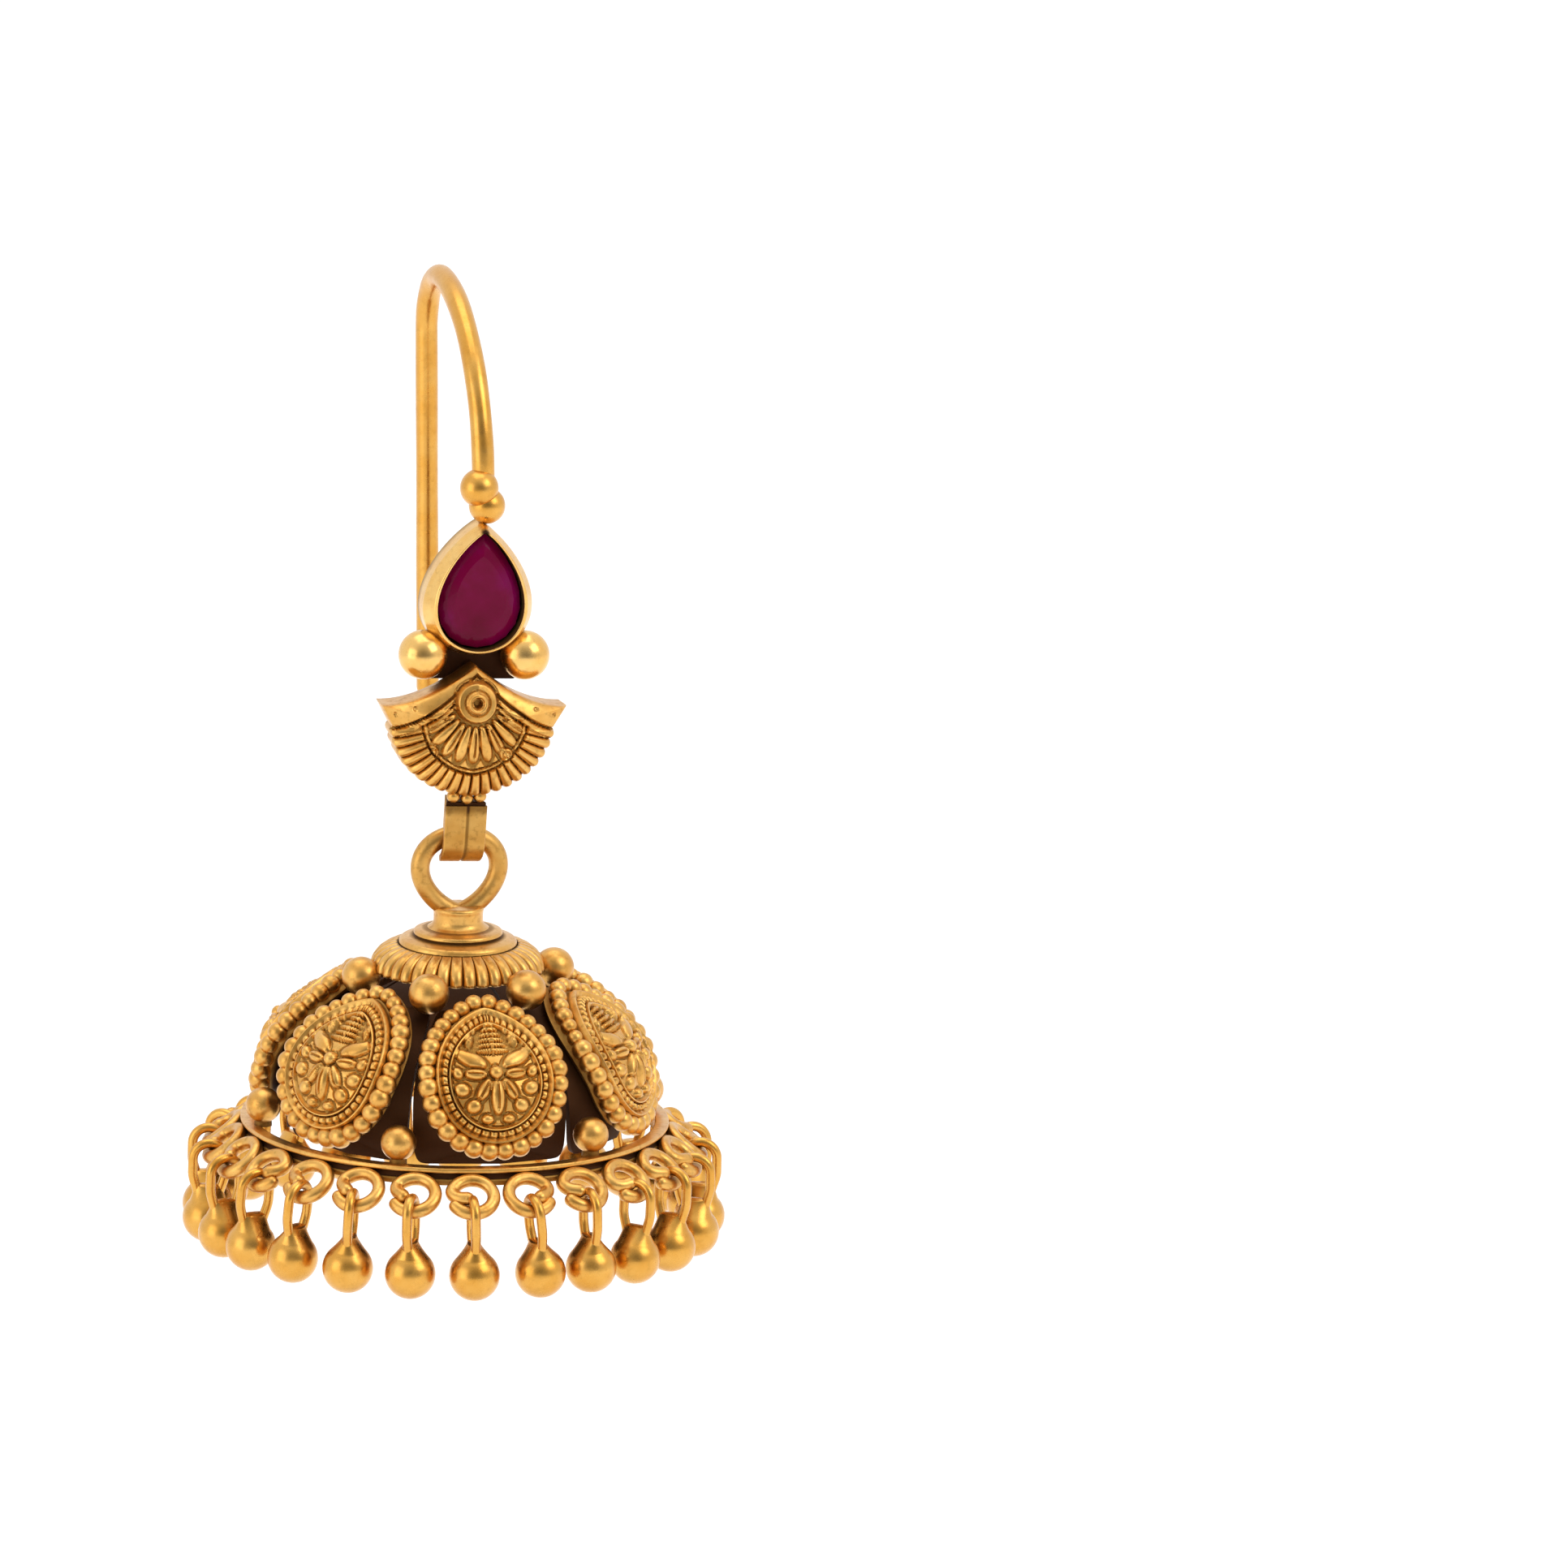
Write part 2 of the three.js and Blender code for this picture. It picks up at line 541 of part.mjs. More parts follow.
// One pear plaque, bent over the dome, with a scalloped border, a raised middle and its backing wall
function plaque(index) {
  const dome = new THREE.SplineCurve(BELL_PROFILE.map(
    (p) => new THREE.Vector2(BELL_R * p.radius, BELL_TOP - BELL_H * p.below)));
  const widest = -PLAQUE_TAPER / (2 + PLAQUE_TAPER) / 2;
  const onDome = (across, up, depth) => {
    const down = THREE.MathUtils.clamp(0.5 - up, 0, 1);
    const at = dome.getPointAt(down);
    const along = dome.getTangentAt(down);
    const turn = rad(PLAQUE_TURNS[index]) + across / at.x;
    const r = at.x + along.y * depth;
    return new THREE.Vector3(r * Math.sin(turn), -r * Math.cos(turn), at.y - along.x * depth);
  };
  const ring = ({ share, depth, notch, perBead }) => {
    const points = [];
    const count = perBead * PLAQUE_BEADS;
    for (let i = 0; i < count; i++) {
      const p = pearPoint((2 * Math.PI * i) / count, PLAQUE_TAPER);
      const size = share - (perBead === 2 && i % 2 ? notch : 0);
      points.push(onDome(p.x * size * PLAQUE_W, widest + (p.y - widest) * size, PLAQUE_T * depth));
    }
    return points;
  };
  // Half the turn from this plaque to its neighbour on one side
  const reach = (side) => {
    const count = PLAQUE_TURNS.length;
    const pitch = side * (PLAQUE_TURNS[(index + side + count) % count] - PLAQUE_TURNS[index]);
    return rad(THREE.MathUtils.euclideanModulo(pitch, 360) / 2);
  };
  const backing = (depth) => {
    const points = [];
    for (let i = 0; i < PLAQUE_BEADS; i++) {
      const t = (2 * Math.PI * i) / PLAQUE_BEADS;
      const side = Math.sin(t) < 0 ? -1 : 1;
      const up = (Math.cos(t) / 2) * BACKING_SHARE;
      const r = dome.getPointAt(0.5 - up).x;
      const edge = r * reach(side) - BACKING_GAP / 2;
      points.push(onDome(side * edge * Math.pow(Math.abs(Math.sin(t)), BACKING_SQUARENESS), up, depth));
    }
    return points;
  };
  const last = PLAQUE_RINGS[PLAQUE_RINGS.length - 1];
  const backingFront = PLAQUE_T + BACKING_BEHIND;
  const body = loft([
    [onDome(0, widest, PLAQUE_T * last.depth - PLAQUE_BULGE)],
    ...[...PLAQUE_RINGS].reverse().map(ring),
    backing(backingFront),
    backing(backingFront + BACKING_T),
    [onDome(0, 0, backingFront + BACKING_T)],
  ]);
  return makeMesh(`plaque_${index + 1}`, toSolid(body), GOLD);
}

// Where the eyes stand on the rim, in the drop's frame at the front
const EYE_SLOPE = rad(EYE_SLOPE_DEG);
const EYE_INNER_R = RIM_R + EYE_WIRE_D / 2 - EYE_OVERLAP;
const EYE_INNER_Z = RIM_TOP - EYE_BELOW_RIM_TOP;
const EYE_OUTER_R = EYE_INNER_R + 2 * EYE_R * Math.cos(EYE_SLOPE);
const EYE_OUTER_Z = EYE_INNER_Z - 2 * EYE_R * Math.sin(EYE_SLOPE);
const fringeTurn = (i) => rad(FRINGE_TURN_DEG + (360 * i) / FRINGE_COUNT);

// The rim band with the lower granules that stand on it and the eyes round its outside
function rimBand() {
  const band = turned([
    { radius: RIM_R - RIM_WALL, z: RIM_TOP },
    { radius: RIM_R, z: RIM_TOP },
    { radius: RIM_R, z: RIM_TOP - RIM_H },
    { radius: RIM_R - RIM_WALL, z: RIM_TOP - RIM_H },
  ], RIM_SEGMENTS, true);
  const pieces = [band.rotateZ(rad(FRINGE_TURN_DEG - 180 / RIM_SEGMENTS))];
  for (let i = 0; i < FRINGE_COUNT; i++) {
    const eye = new THREE.TorusGeometry(EYE_R, EYE_WIRE_D / 2, EYE_SIDES, EYE_STEPS);
    eye.rotateX(EYE_SLOPE);
    eye.translate(0, -(EYE_INNER_R + EYE_OUTER_R) / 2, (EYE_INNER_Z + EYE_OUTER_Z) / 2);
    pieces.push(eye.rotateZ(fringeTurn(i)));
  }
  for (let i = 0; i < LOWER_GRANULES; i++) {
    const rows = [{ radius: 0, z: LOWER_GRANULE_R }];
    for (let k = 1; k < GRANULE_BANDS; k++) {
      const turn = (Math.PI * k) / GRANULE_BANDS;
      rows.push({ radius: LOWER_GRANULE_R * Math.sin(turn), z: LOWER_GRANULE_R * Math.cos(turn) });
    }
    const foot = -LOWER_GRANULE_R - LOWER_GRANULE_LIFT - RIM_H / 2;
    rows.push({ radius: STALK_R, z: foot }, { radius: 0, z: foot });
    const granule = turned(rows, GRANULE_SEGMENTS);
    granule.translate(0, LOWER_GRANULE_INSET - RIM_R, RIM_TOP + LOWER_GRANULE_R + LOWER_GRANULE_LIFT);
    pieces.push(granule.rotateZ(rad(LOWER_GRANULE_TURN_DEG + (360 * i) / LOWER_GRANULES)));
  }
  return makeMesh('rim_band', join(pieces), GOLD);
}

// One ball drop: a ball with a drawn tip on a wire loop, which runs through an eye
function ballDrop(index) {
  const path = [];
  const half = 5;
  for (let i = 0; i <= half; i++) {
    const turn = (Math.PI * i) / half;
    path.push(new THREE.Vector2(LOOP_R * Math.cos(turn), LOOP_R * Math.sin(turn)));
  }
  path.push(
    new THREE.Vector2(-LOOP_R, -LOOP_LEG), new THREE.Vector2(-LOOP_FOOT_HALF_W, -LOOP_LEG - LOOP_FOOT),
    new THREE.Vector2(LOOP_FOOT_HALF_W, -LOOP_LEG - LOOP_FOOT), new THREE.Vector2(LOOP_R, -LOOP_LEG));
  const loop = flatWire(path, LOOP_WIRE_D, LOOP_SIDES, true);
  loop.applyMatrix4(SIDE_ON);
  const rows = [{ radius: 0, z: BALL_TIP_ABOVE }];
  for (let i = 0; i < BALL_BANDS; i++) {
    const turn = rad(BALL_FROM_DEG) + ((Math.PI - rad(BALL_FROM_DEG)) * i) / BALL_BANDS;
    rows.push({ radius: BALL_R * Math.sin(turn), z: BALL_R * Math.cos(turn) });
  }
  rows.push({ radius: 0, z: -BALL_R });
  const drop = turned(rows, BALL_SEGMENTS);
  drop.translate(0, 0, -BALL_BELOW_LOOP);
  const mesh = makeMesh(`ball_drop_${String(index + 1).padStart(2, '0')}`, join([loop, drop]), SATIN_GOLD);
  const hang = DROP_HANGS[index % DROP_HANGS.length];
  mesh.rotation.set(0, -rad(hang.sway), rad(hang.twist));
  const loopAboveEye = (EYE_WIRE_D + LOOP_WIRE_D) / 2 + LINK_CLEARANCE - LOOP_R;
  mesh.position.set(0, -EYE_OUTER_R, EYE_OUTER_Z + loopAboveEye);
  const place = new THREE.Group();
  place.rotation.z = fringeTurn(index);
  place.add(mesh);
  return place;
}

// The assembly
const earring = new THREE.Group();
earring.add(earHook());

const front = new THREE.Group();
front.position.set(0, -HOOK_FRONT_REACH, -HOOK_FRONT_DROP);
front.rotation.y = rad(LEAN_DEG);
for (const { piece, side, below } of [
  { piece: rubyStone(), side: 0, below: BEZEL_DROP },
  { piece: bezelSetting(), side: 0, below: BEZEL_DROP },
  { piece: fanPlaque(), side: FAN_SIDE, below: FAN_DROP },
  { piece: bailLoop(), side: FAN_SIDE, below: BAIL_DROP },
]) {
  piece.position.set(side, 0, -below);
  front.add(piece);
}
earring.add(front);
earring.updateMatrixWorld(true);

const drop = new THREE.Group();
const ringHoleR = RING_R - RING_WIRE_D / 2;
const ringBelowBail = BAIL_INNER_R - LINK_CLEARANCE + Math.sqrt(ringHoleR ** 2 - (BAIL_W / 2) ** 2);
const bailMiddle = front.localToWorld(new THREE.Vector3(FAN_SIDE, 0, -BAIL_DROP));
drop.position.copy(bailMiddle).z -= ringBelowBail;
drop.rotation.y = rad(DROP_LEAN_DEG);
drop.add(dropCap(), rimBand());
PLAQUE_TURNS.forEach((_, i) => drop.add(plaque(i)));
for (let i = 0; i < FRINGE_COUNT; i++) drop.add(ballDrop(i));
earring.add(drop);

export default earring;
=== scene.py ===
# The looks of an antique gold jhumka earring with a pear-cut ruby: fine surfaces, patina with painted shade,
# floor, light and camera. Lengths in this script are millimetres; the meshes hold metres.

import math

import bmesh
import bpy
import numpy as np
from mathutils import Matrix, Vector


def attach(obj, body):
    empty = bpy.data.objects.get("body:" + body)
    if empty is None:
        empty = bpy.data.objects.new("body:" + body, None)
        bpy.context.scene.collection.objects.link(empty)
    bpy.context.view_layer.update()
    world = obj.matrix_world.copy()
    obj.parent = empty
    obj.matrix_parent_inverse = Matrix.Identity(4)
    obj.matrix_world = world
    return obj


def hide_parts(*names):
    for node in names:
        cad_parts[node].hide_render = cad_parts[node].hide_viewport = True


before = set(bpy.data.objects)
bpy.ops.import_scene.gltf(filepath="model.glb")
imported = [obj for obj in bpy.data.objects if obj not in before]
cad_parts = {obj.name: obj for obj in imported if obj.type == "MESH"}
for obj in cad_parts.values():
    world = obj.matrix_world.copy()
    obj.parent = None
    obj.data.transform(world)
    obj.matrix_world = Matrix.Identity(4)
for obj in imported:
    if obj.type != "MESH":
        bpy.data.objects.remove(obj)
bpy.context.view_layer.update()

MM = 0.001
TAU = 2 * math.pi

# Where the ear wire's front ends, and how far what hangs there and the drop lean to the side
FRONT_FOOT = (0.0, -8.5, -8.2)
LEAN_DEG = 3.66
DROP_LEAN_DEG = 1.2

# Ear wire
WIRE_D = 1.1
HOOK_FRONT_REACH = 8.5
HOOK_FRONT_DROP = 8.2
HOOK_BACK_REACH = 3.5
HOOK_BACK_DROP = 21.6
COLLAR_BEADS = [
    {"radius": 0.95, "side": -0.25, "front": 0.2, "below": 0.45},
    {"radius": 0.9, "side": 0.16, "front": 0.1, "below": 1.38},
]

# Stone and bezel
STONE_W = 4.16
STONE_H = 5.77
STONE_TAPER = 0.7
STONE_CLEARANCE = 0.1
STONE_FACETS = 20
TABLE_SHARE = 0.62
CULET_SHARE = 0.35
CROWN_H = 0.4
PAVILION_H = 0.88
BEZEL_DROP = 5.5
BEZEL_BACK = -0.75
BEZEL_FLOOR = 0.45
LIP_W = 0.16
LIP_DEPTH = 0.8
LIP_PROUD = 0.12
BEZEL_FLARE = 0.42
BEZEL_TIP_SHARE = 0.62
SIDE_BALL_R = 1.22
SIDE_BALL_SPACING = 5.15
SIDE_BALL_DROP = 8.85
SIDE_BALL_FRONT = 0.3
BRIDGE = (4.6, 0.5, 2.6)
BRIDGE_DROP = 8.9
BRIDGE_INSET = 0.04  # how far its back lies in front of the setting's

# Fan plaque
CLEARANCE = 0.12
FAN_SIDE = -0.12
FAN_DROP = 11.75
FAN_R = 4.24
FAN_RIBS = 20
FAN_RIB_H = 0.16
FAN_ARC_START_DEG = -8
FAN_TIP = (4.7, 0.6)
FAN_APEX_UP = 2.6
FAN_HOLLOW = (2.5, 0.55)
FAN_WALL = 1.3
FAN_DOME = 0.85
FAN_CENTRE_UP = -0.3
FAN_FLAT = 0.94  # how much flatter than a circle the ribbed edge is
RIBS_FROM = 2.95
BOSS_R = 1.1
BOSS_UP = 0.88
BOSS_PROUD = 0.35
FAN_PETALS = 11
PETAL_FROM = 1.2
PETAL_TO = 3.1
PETAL_SPREAD_DEG = 146
ROSETTES = [(-2.1, -1.65), (1.65, -1.75)]
FAN_PITS = [(4.0, 0.42), (3.05, 0.34)]  # across, and below the hollow edge
FAN_GRAIN_R = 0.33
FAN_GRAINS = [(-0.68, -4.08), (0.0, -4.16), (0.66, -4.06)]
# The fan's side wall: how far each row lies behind the front edge and inside the outline
FAN_SIDE_ROWS = [(0.12, 0.0), (0.45, 0.02), (0.85, 0.05), (FAN_WALL - 0.06, 0.08), (FAN_WALL, 0.16)]

# Bail
BAIL_W = 2.1
BAIL_T = 0.35
BAIL_INNER_R = 0.9
BAIL_DROP = 18.09
BAIL_BAR_H = 0.38
LINK_CLEARANCE = 0.1

# Drop ring, neck and cap
RING_R = 1.98
RING_WIRE_D = 0.95
RING_TAPER = 0.42
NECK_R = 1.27
NECK_H = 1.0
NECK_TOP_BELOW_RING = 1.66
CAP_R = 4.3
CAP_H = 2.05
GADROONS = 38
GADROON_DEPTH = 0.34
SKIRT_TOP_R = 2.75
SKIRT_H = 1.2

# Bell
RIM_R = 10.5
BELL_ABOVE_CAP_EDGE = 0.2
BELL_R = RIM_R - 0.45
BELL_H = 7.7
# The dome's outer profile, as shares of its radius and height
BELL_PROFILE = [
    (0.493, 0), (0.612, 0.097), (0.761, 0.227), (0.878, 0.364),
    (0.96, 0.526), (0.995, 0.714), (1, 0.883), (0.987, 1),
]
PLAQUE_TURNS = [-1, 56, 117.5, 179, 241, 304]
PLAQUE_W = 7.9
PLAQUE_T = 1.3
PLAQUE_TAPER = 0.42
BORDER_BEADS = 30
BORDER_BEAD_R = 0.5
BORDER_SHARE = 0.885
BORDER_DEPTH = 0.42
BACKING_BEHIND = 0.3
BACKING_T = 0.3
BACKING_SHARE = 0.97
BACKING_SQUARENESS = 0.06
BACKING_GAP = 0.14
BACKING_LOWER = 0.9  # how far its foot reaches below the bell's
CARVING_SCALE = 1.07
UPPER_GRANULE_R = 1.0
# Turn in degrees, then size, place out from the cap's edge and place below it, as shares of that radius
UPPER_GRANULES = [
    (30, 1, 0.62, 0.28), (90, 1, 0.6, 0.28), (150, 0.97, 0.6, 0.28),
    (210, 0.82, 0.25, 0.5), (270, 0.96, 0.56, 0.32), (330, 1, 0.6, 0.28),
]
LOWER_GRANULE_R = 0.88
LOWER_GRANULE_INSET = 0.8
LOWER_GRANULE_LIFT = 0.1
LOWER_GRANULES = 6
LOWER_GRANULE_TURN_DEG = 30

# The leaves on one side of a plaque's flower: place to the side and up, in mm from the middle of the
# plaque's widest line, then half length, half width, turn in degrees and width of the vein
MOTIF_LEAVES = [
    (1.12, 1.2, 0.82, 0.4, 32, 0),
    (0.95, 0.38, 0.56, 0.27, 5, 0.05),
    (0.6, -0.38, 0.62, 0.27, -58, 0.05),
    (1.66, -0.38, 0.36, 0.33, 0, 0),
    (1.14, -1.18, 0.36, 0.32, -40, 0),
    (0.5, -1.78, 0.3, 0.22, 0, 0),
    (1.8, 0.45, 0.3, 0.26, 60, 0),
    (1.02, 2.2, 0.42, 0.2, 112, 0),
    (0.72, 2.95, 0.32, 0.16, 112, 0),
]
LADDER_BARS = 6
# What rings the flower, as distances from the middle to the outline
FIELD_R = 2.1
INNER_LINE_R = 2.17
STROKES_FROM = 2.27
STROKES_TO = 2.62
STROKES_MIDDLE = 2.44
STROKE_PAIRS = 21
OUTER_LINE_R = 2.74

# Rim and fringe
RIM_BELOW_BELL = 0.15
RIM_WALL = 0.62
RIM_H = 0.85
FRINGE_COUNT = 25
FRINGE_TURN_DEG = 5.5
EYE_WIRE_D = 0.66
EYE_R = 1.0
EYE_WIDER = 1.05  # how much wider across than tall an eye is
EYE_SLOPE = math.radians(40)
EYE_OVERLAP = 0.18
EYE_BELOW_RIM_TOP = 0.52
LOOP_WIRE_D = 0.48
LOOP_R = 0.8
LOOP_LEG = 0.75
LOOP_FOOT = 1.2
LOOP_FOOT_HALF_W = 0.52
BALL_R = 1.25
BALL_TIP_ABOVE = 1.62
BALL_TIP_W = 0.66  # the pinched tip across the loop's plane
BALL_TIP_H = 1.44  # and along it
BALL_BELOW_LOOP = 3.0
# Twist about its own length and sway along the rim of each drop, in degrees, in order round the rim
DROP_HANGS = [
    (4, 7), (-8, 2), (6, -2), (-4, -3), (5, 2), (-6, 4), (3, -5), (8, 1), (-5, 5), (2, -3),
    (-7, 2), (6, 4), (-3, -4), (7, -1), (-4, 3), (5, 5), (-8, -2), (4, 1), (-5, -4), (6, -2),
    (-6, -6), (3, -6), (14, -3), (-5, 0), (4, 2),
]


# Shells: a shell is (points, faces, height). height is 1 where metal is worn bright and 0 in a recess. On the
# bail's bar and the top of its strap a low height is painted shade, and on the plaques' sides and the wall
# behind them it is patina and painted shade.

def shell(points, faces, height=1.0):
    points = np.asarray(points, float)
    return points, faces, np.broadcast_to(np.asarray(height, float), len(points)).copy()


def skin(rings, height=1.0, wrap=False, start=None, end=None):
    """A surface over (rows, columns, 3) points. wrap joins its last row to its first; start and end
    are points that close its two ends."""
    rows, columns = rings.shape[:2]
    last_row = rows if wrap else rows - 1
    row, column = (part.ravel() for part in np.meshgrid(
        np.arange(last_row), np.arange(columns), indexing="ij"))
    below, after = (row + 1) % rows, (column + 1) % columns
    faces = np.stack([row * columns + column, row * columns + after,
                      below * columns + after, below * columns + column], axis=1).tolist()
    points = [rings.reshape(-1, 3)]
    heights = [np.broadcast_to(np.asarray(height, float), (rows, columns)).ravel()]
    count = rows * columns
    for point, edge in ((start, 0), (end, rows - 1)):
        if point is None:
            continue
        points.append(np.asarray(point, float).reshape(1, 3))
        heights.append(heights[0][edge * columns:edge * columns + 1])
        ends = [edge * columns + k for k in range(columns)]
        for k in range(columns):
            pair = (ends[k], ends[(k + 1) % columns])
            faces.append([count, *pair] if edge else [count, *pair[::-1]])
        count += 1
    return shell(np.vstack(points), faces, np.concatenate(heights))


def join(*shells):
    points, faces, heights, start = [], [], [], 0
    for p, f, h in shells:
        points.append(p)
        faces += [[start + i for i in face] for face in f]
        heights.append(h)
        start += len(p)
    return np.vstack(points), faces, np.concatenate(heights)


def moved(one, matrix):
    points, faces, height = one
    matrix = np.array(matrix)
    return points @ matrix[:3, :3].T + matrix[:3, 3], faces, height


def turn_z(degrees):
    return Matrix.Rotation(math.radians(degrees), 4, "Z")


def full_turn(count):
    return np.linspace(0, TAU, count, endpoint=False)


def smooth(low, high, value):
    share = np.clip((value - low) / (high - low), 0, 1)
    return share * share * (3 - 2 * share)


def sphere(radius, centre, columns, rows):
    rise = np.linspace(0, math.pi, rows + 2)[1:-1, None]
    turn = full_turn(columns)[None, :]
    rings = np.stack([np.sin(rise) * np.cos(turn), np.sin(rise) * np.sin(turn),
                      np.cos(rise) + 0 * turn], axis=-1) * radius + np.array(centre)
    up = np.array([0, 0, radius])
    return skin(rings, start=np.array(centre) + up, end=np.array(centre) - up)


def lathe(profile, columns, wave=None, height=1.0, wrap=False):
    """A body turned about Z from (radius, z) points; wave gives what a turn adds to each radius."""
    profile = np.array(profile, float)
    turn = full_turn(columns)
    closed = [None if profile[k][0] > 0 else (0, 0, profile[k][1]) for k in (0, -1)]
    rows = profile[(0 if closed[0] is None else 1):(len(profile) if closed[1] is None else -1)]
    radius = rows[:, :1] + (0 if wave is None else wave(rows, turn))
    radius = np.broadcast_to(radius, (len(rows), columns))
    z = np.broadcast_to(rows[:, 1:2], radius.shape)
    rings = np.stack([radius * np.sin(turn), -radius * np.cos(turn), z], axis=-1)
    if np.ndim(height) == 1:
        height = np.asarray(height)[:, None]
    return skin(rings, height, wrap=wrap, start=closed[0], end=closed[1])


def rounded(points, size, steps=4, closed=False):
    """A polyline with each corner cut to a small arc-like curve."""
    points = [np.array(p, float) for p in points]
    count = len(points)
    result = []
    for k, here in enumerate(points):
        if not closed and k in (0, count - 1):
            result.append(here)
            continue
        before, after = points[k - 1], points[(k + 1) % count]
        cut = min(size, 0.45 * np.linalg.norm(before - here), 0.45 * np.linalg.norm(after - here))
        a = here + (before - here) / np.linalg.norm(before - here) * cut
        b = here + (after - here) / np.linalg.norm(after - here) * cut
        for s in np.linspace(0, 1, steps):
            result.append((1 - s) ** 2 * a + 2 * (1 - s) * s * here + s * s * b)
    return np.array(result)


def tube(path, radius, normal, sides, closed=False, height=1.0):
    """A round wire along a flat path whose plane has that normal. Its open ends are rounded."""
    path = np.asarray(path, float)
    radius = np.broadcast_to(np.asarray(radius, float), len(path))
    ahead = np.roll(path, -1, axis=0) - np.roll(path, 1, axis=0)
    if not closed:
        ahead[0], ahead[-1] = path[1] - path[0], path[-1] - path[-2]
    ahead /= np.linalg.norm(ahead, axis=1, keepdims=True)
    if not closed:
        dome = np.linspace(0, math.pi / 2, 6)[1:-1]
        first = [(path[0] - ahead[0] * radius[0] * math.sin(a), radius[0] * math.cos(a)) for a in dome[::-1]]
        last = [(path[-1] + ahead[-1] * radius[-1] * math.sin(a), radius[-1] * math.cos(a)) for a in dome]
        ends = path[0] - ahead[0] * radius[0], path[-1] + ahead[-1] * radius[-1]
        path = np.vstack([[p for p, _ in first], path, [p for p, _ in last]])
        radius = np.concatenate([[r for _, r in first], radius, [r for _, r in last]])
        ahead = np.vstack([np.repeat(ahead[:1], len(dome), 0), ahead, np.repeat(ahead[-1:], len(dome), 0)])
    normal = np.array(normal, float) / np.linalg.norm(normal)
    side = np.cross(ahead, normal)
    side /= np.linalg.norm(side, axis=1, keepdims=True)
    turn = full_turn(sides)
    out = np.cos(turn)[None, :, None] * side[:, None, :] + np.sin(turn)[None, :, None] * normal
    rings = path[:, None, :] + radius[:, None, None] * out
    if closed:
        return skin(rings, height, wrap=True)
    return skin(rings, height, start=ends[0], end=ends[1])


def rounded_box(size, centre, bevel, height=1.0):
    bm = bmesh.new()
    bmesh.ops.create_cube(bm, size=1)
    bmesh.ops.scale(bm, vec=Vector(size), verts=bm.verts)
    bmesh.ops.bevel(bm, geom=bm.edges[:], offset=bevel, segments=3, profile=0.5, affect="EDGES")
    bm.verts.ensure_lookup_table()
    points = np.array([v.co for v in bm.verts]) + np.array(centre)
    faces = [[v.index for v in face.verts] for face in bm.faces]
    bm.free()
    return shell(points, faces, height)


def pear(turn, taper):
    """Points of a pear one unit wide and tall: its tip at turn 0, its foot at half a turn."""
    def swell(s):
        return np.sin(s) * np.abs(np.sin(s / 2)) ** taper
    widest = swell(math.acos(-taper / (2 + taper)))
    return np.stack([swell(turn) / widest / 2, np.cos(turn) / 2], axis=-1)


def add_object(name, data):
    one = bpy.data.objects.new(name, data)
    bpy.context.scene.collection.objects.link(one)
    return one


def add_piece(name, one, look, body, slot, *nodes, sharp_deg=40):
    """A piece of the object from a shell in mm. Edges steeper than sharp_deg stay sharp."""
    points, faces, height = one
    mesh = bpy.data.meshes.new(name)
    mesh.from_pydata((points * MM).tolist(), [], faces)
    # The height goes to the material as an attribute: wear and patina, and painted shade on the bail and
    # round the plaques.
    relief_and_shade = mesh.attributes.new("relief_and_shade", "FLOAT", "POINT")
    relief_and_shade.data.foreach_set("value", height.astype(np.float32))
    bm = bmesh.new()
    bm.from_mesh(mesh)
    bmesh.ops.recalc_face_normals(bm, faces=bm.faces)
    bm.to_mesh(mesh)
    bm.free()
    mesh.shade_smooth()
    mesh.set_sharp_from_angle(angle=math.radians(sharp_deg))
    mesh.materials.append(look)
    piece = add_object(name, mesh)
    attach(piece, body)
    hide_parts(*nodes)


# Materials

def new_material(name):
    material = bpy.data.materials.new(name)
    material.use_nodes = True
    nodes, links = material.node_tree.nodes, material.node_tree.links
    return material, nodes, links, nodes["Principled BSDF"]


def noise(nodes, links, scale, detail=3.0, roughness=0.5):
    place = nodes.get("Place") or nodes.new("ShaderNodeTexCoord")
    place.name = "Place"
    texture = nodes.new("ShaderNodeTexNoise")
    texture.inputs["Scale"].default_value = scale
    texture.inputs["Detail"].default_value = detail
    texture.inputs["Roughness"].default_value = roughness
    links.new(place.outputs["Object"], texture.inputs["Vector"])
    return texture.outputs["Fac"]


def ramp(nodes, links, value, stops):
    """A ramp over value: stops are (position, grey or colour)."""
    node = nodes.new("ShaderNodeValToRGB")
    elements = node.color_ramp.elements
    while len(elements) < len(stops):
        elements.new(0.5)
    for element, (position, colour) in zip(elements, stops):
        element.position = position
        element.color = (colour,) * 3 + (1,) if np.isscalar(colour) else (*colour, 1)
    links.new(value, node.inputs["Fac"])
    return node.outputs["Color"]


def mixed(nodes, links, share, first, second, mode="MIX"):
    node = nodes.new("ShaderNodeMix")
    node.data_type = "RGBA"
    node.blend_type = mode
    for socket, value in zip((node.inputs[0], node.inputs[6], node.inputs[7]), (share, first, second)):
        if isinstance(value, bpy.types.NodeSocket):
            links.new(value, socket)
        else:
            socket.default_value = value if socket.type == "VALUE" else (*value, 1)
    return node.outputs[2]


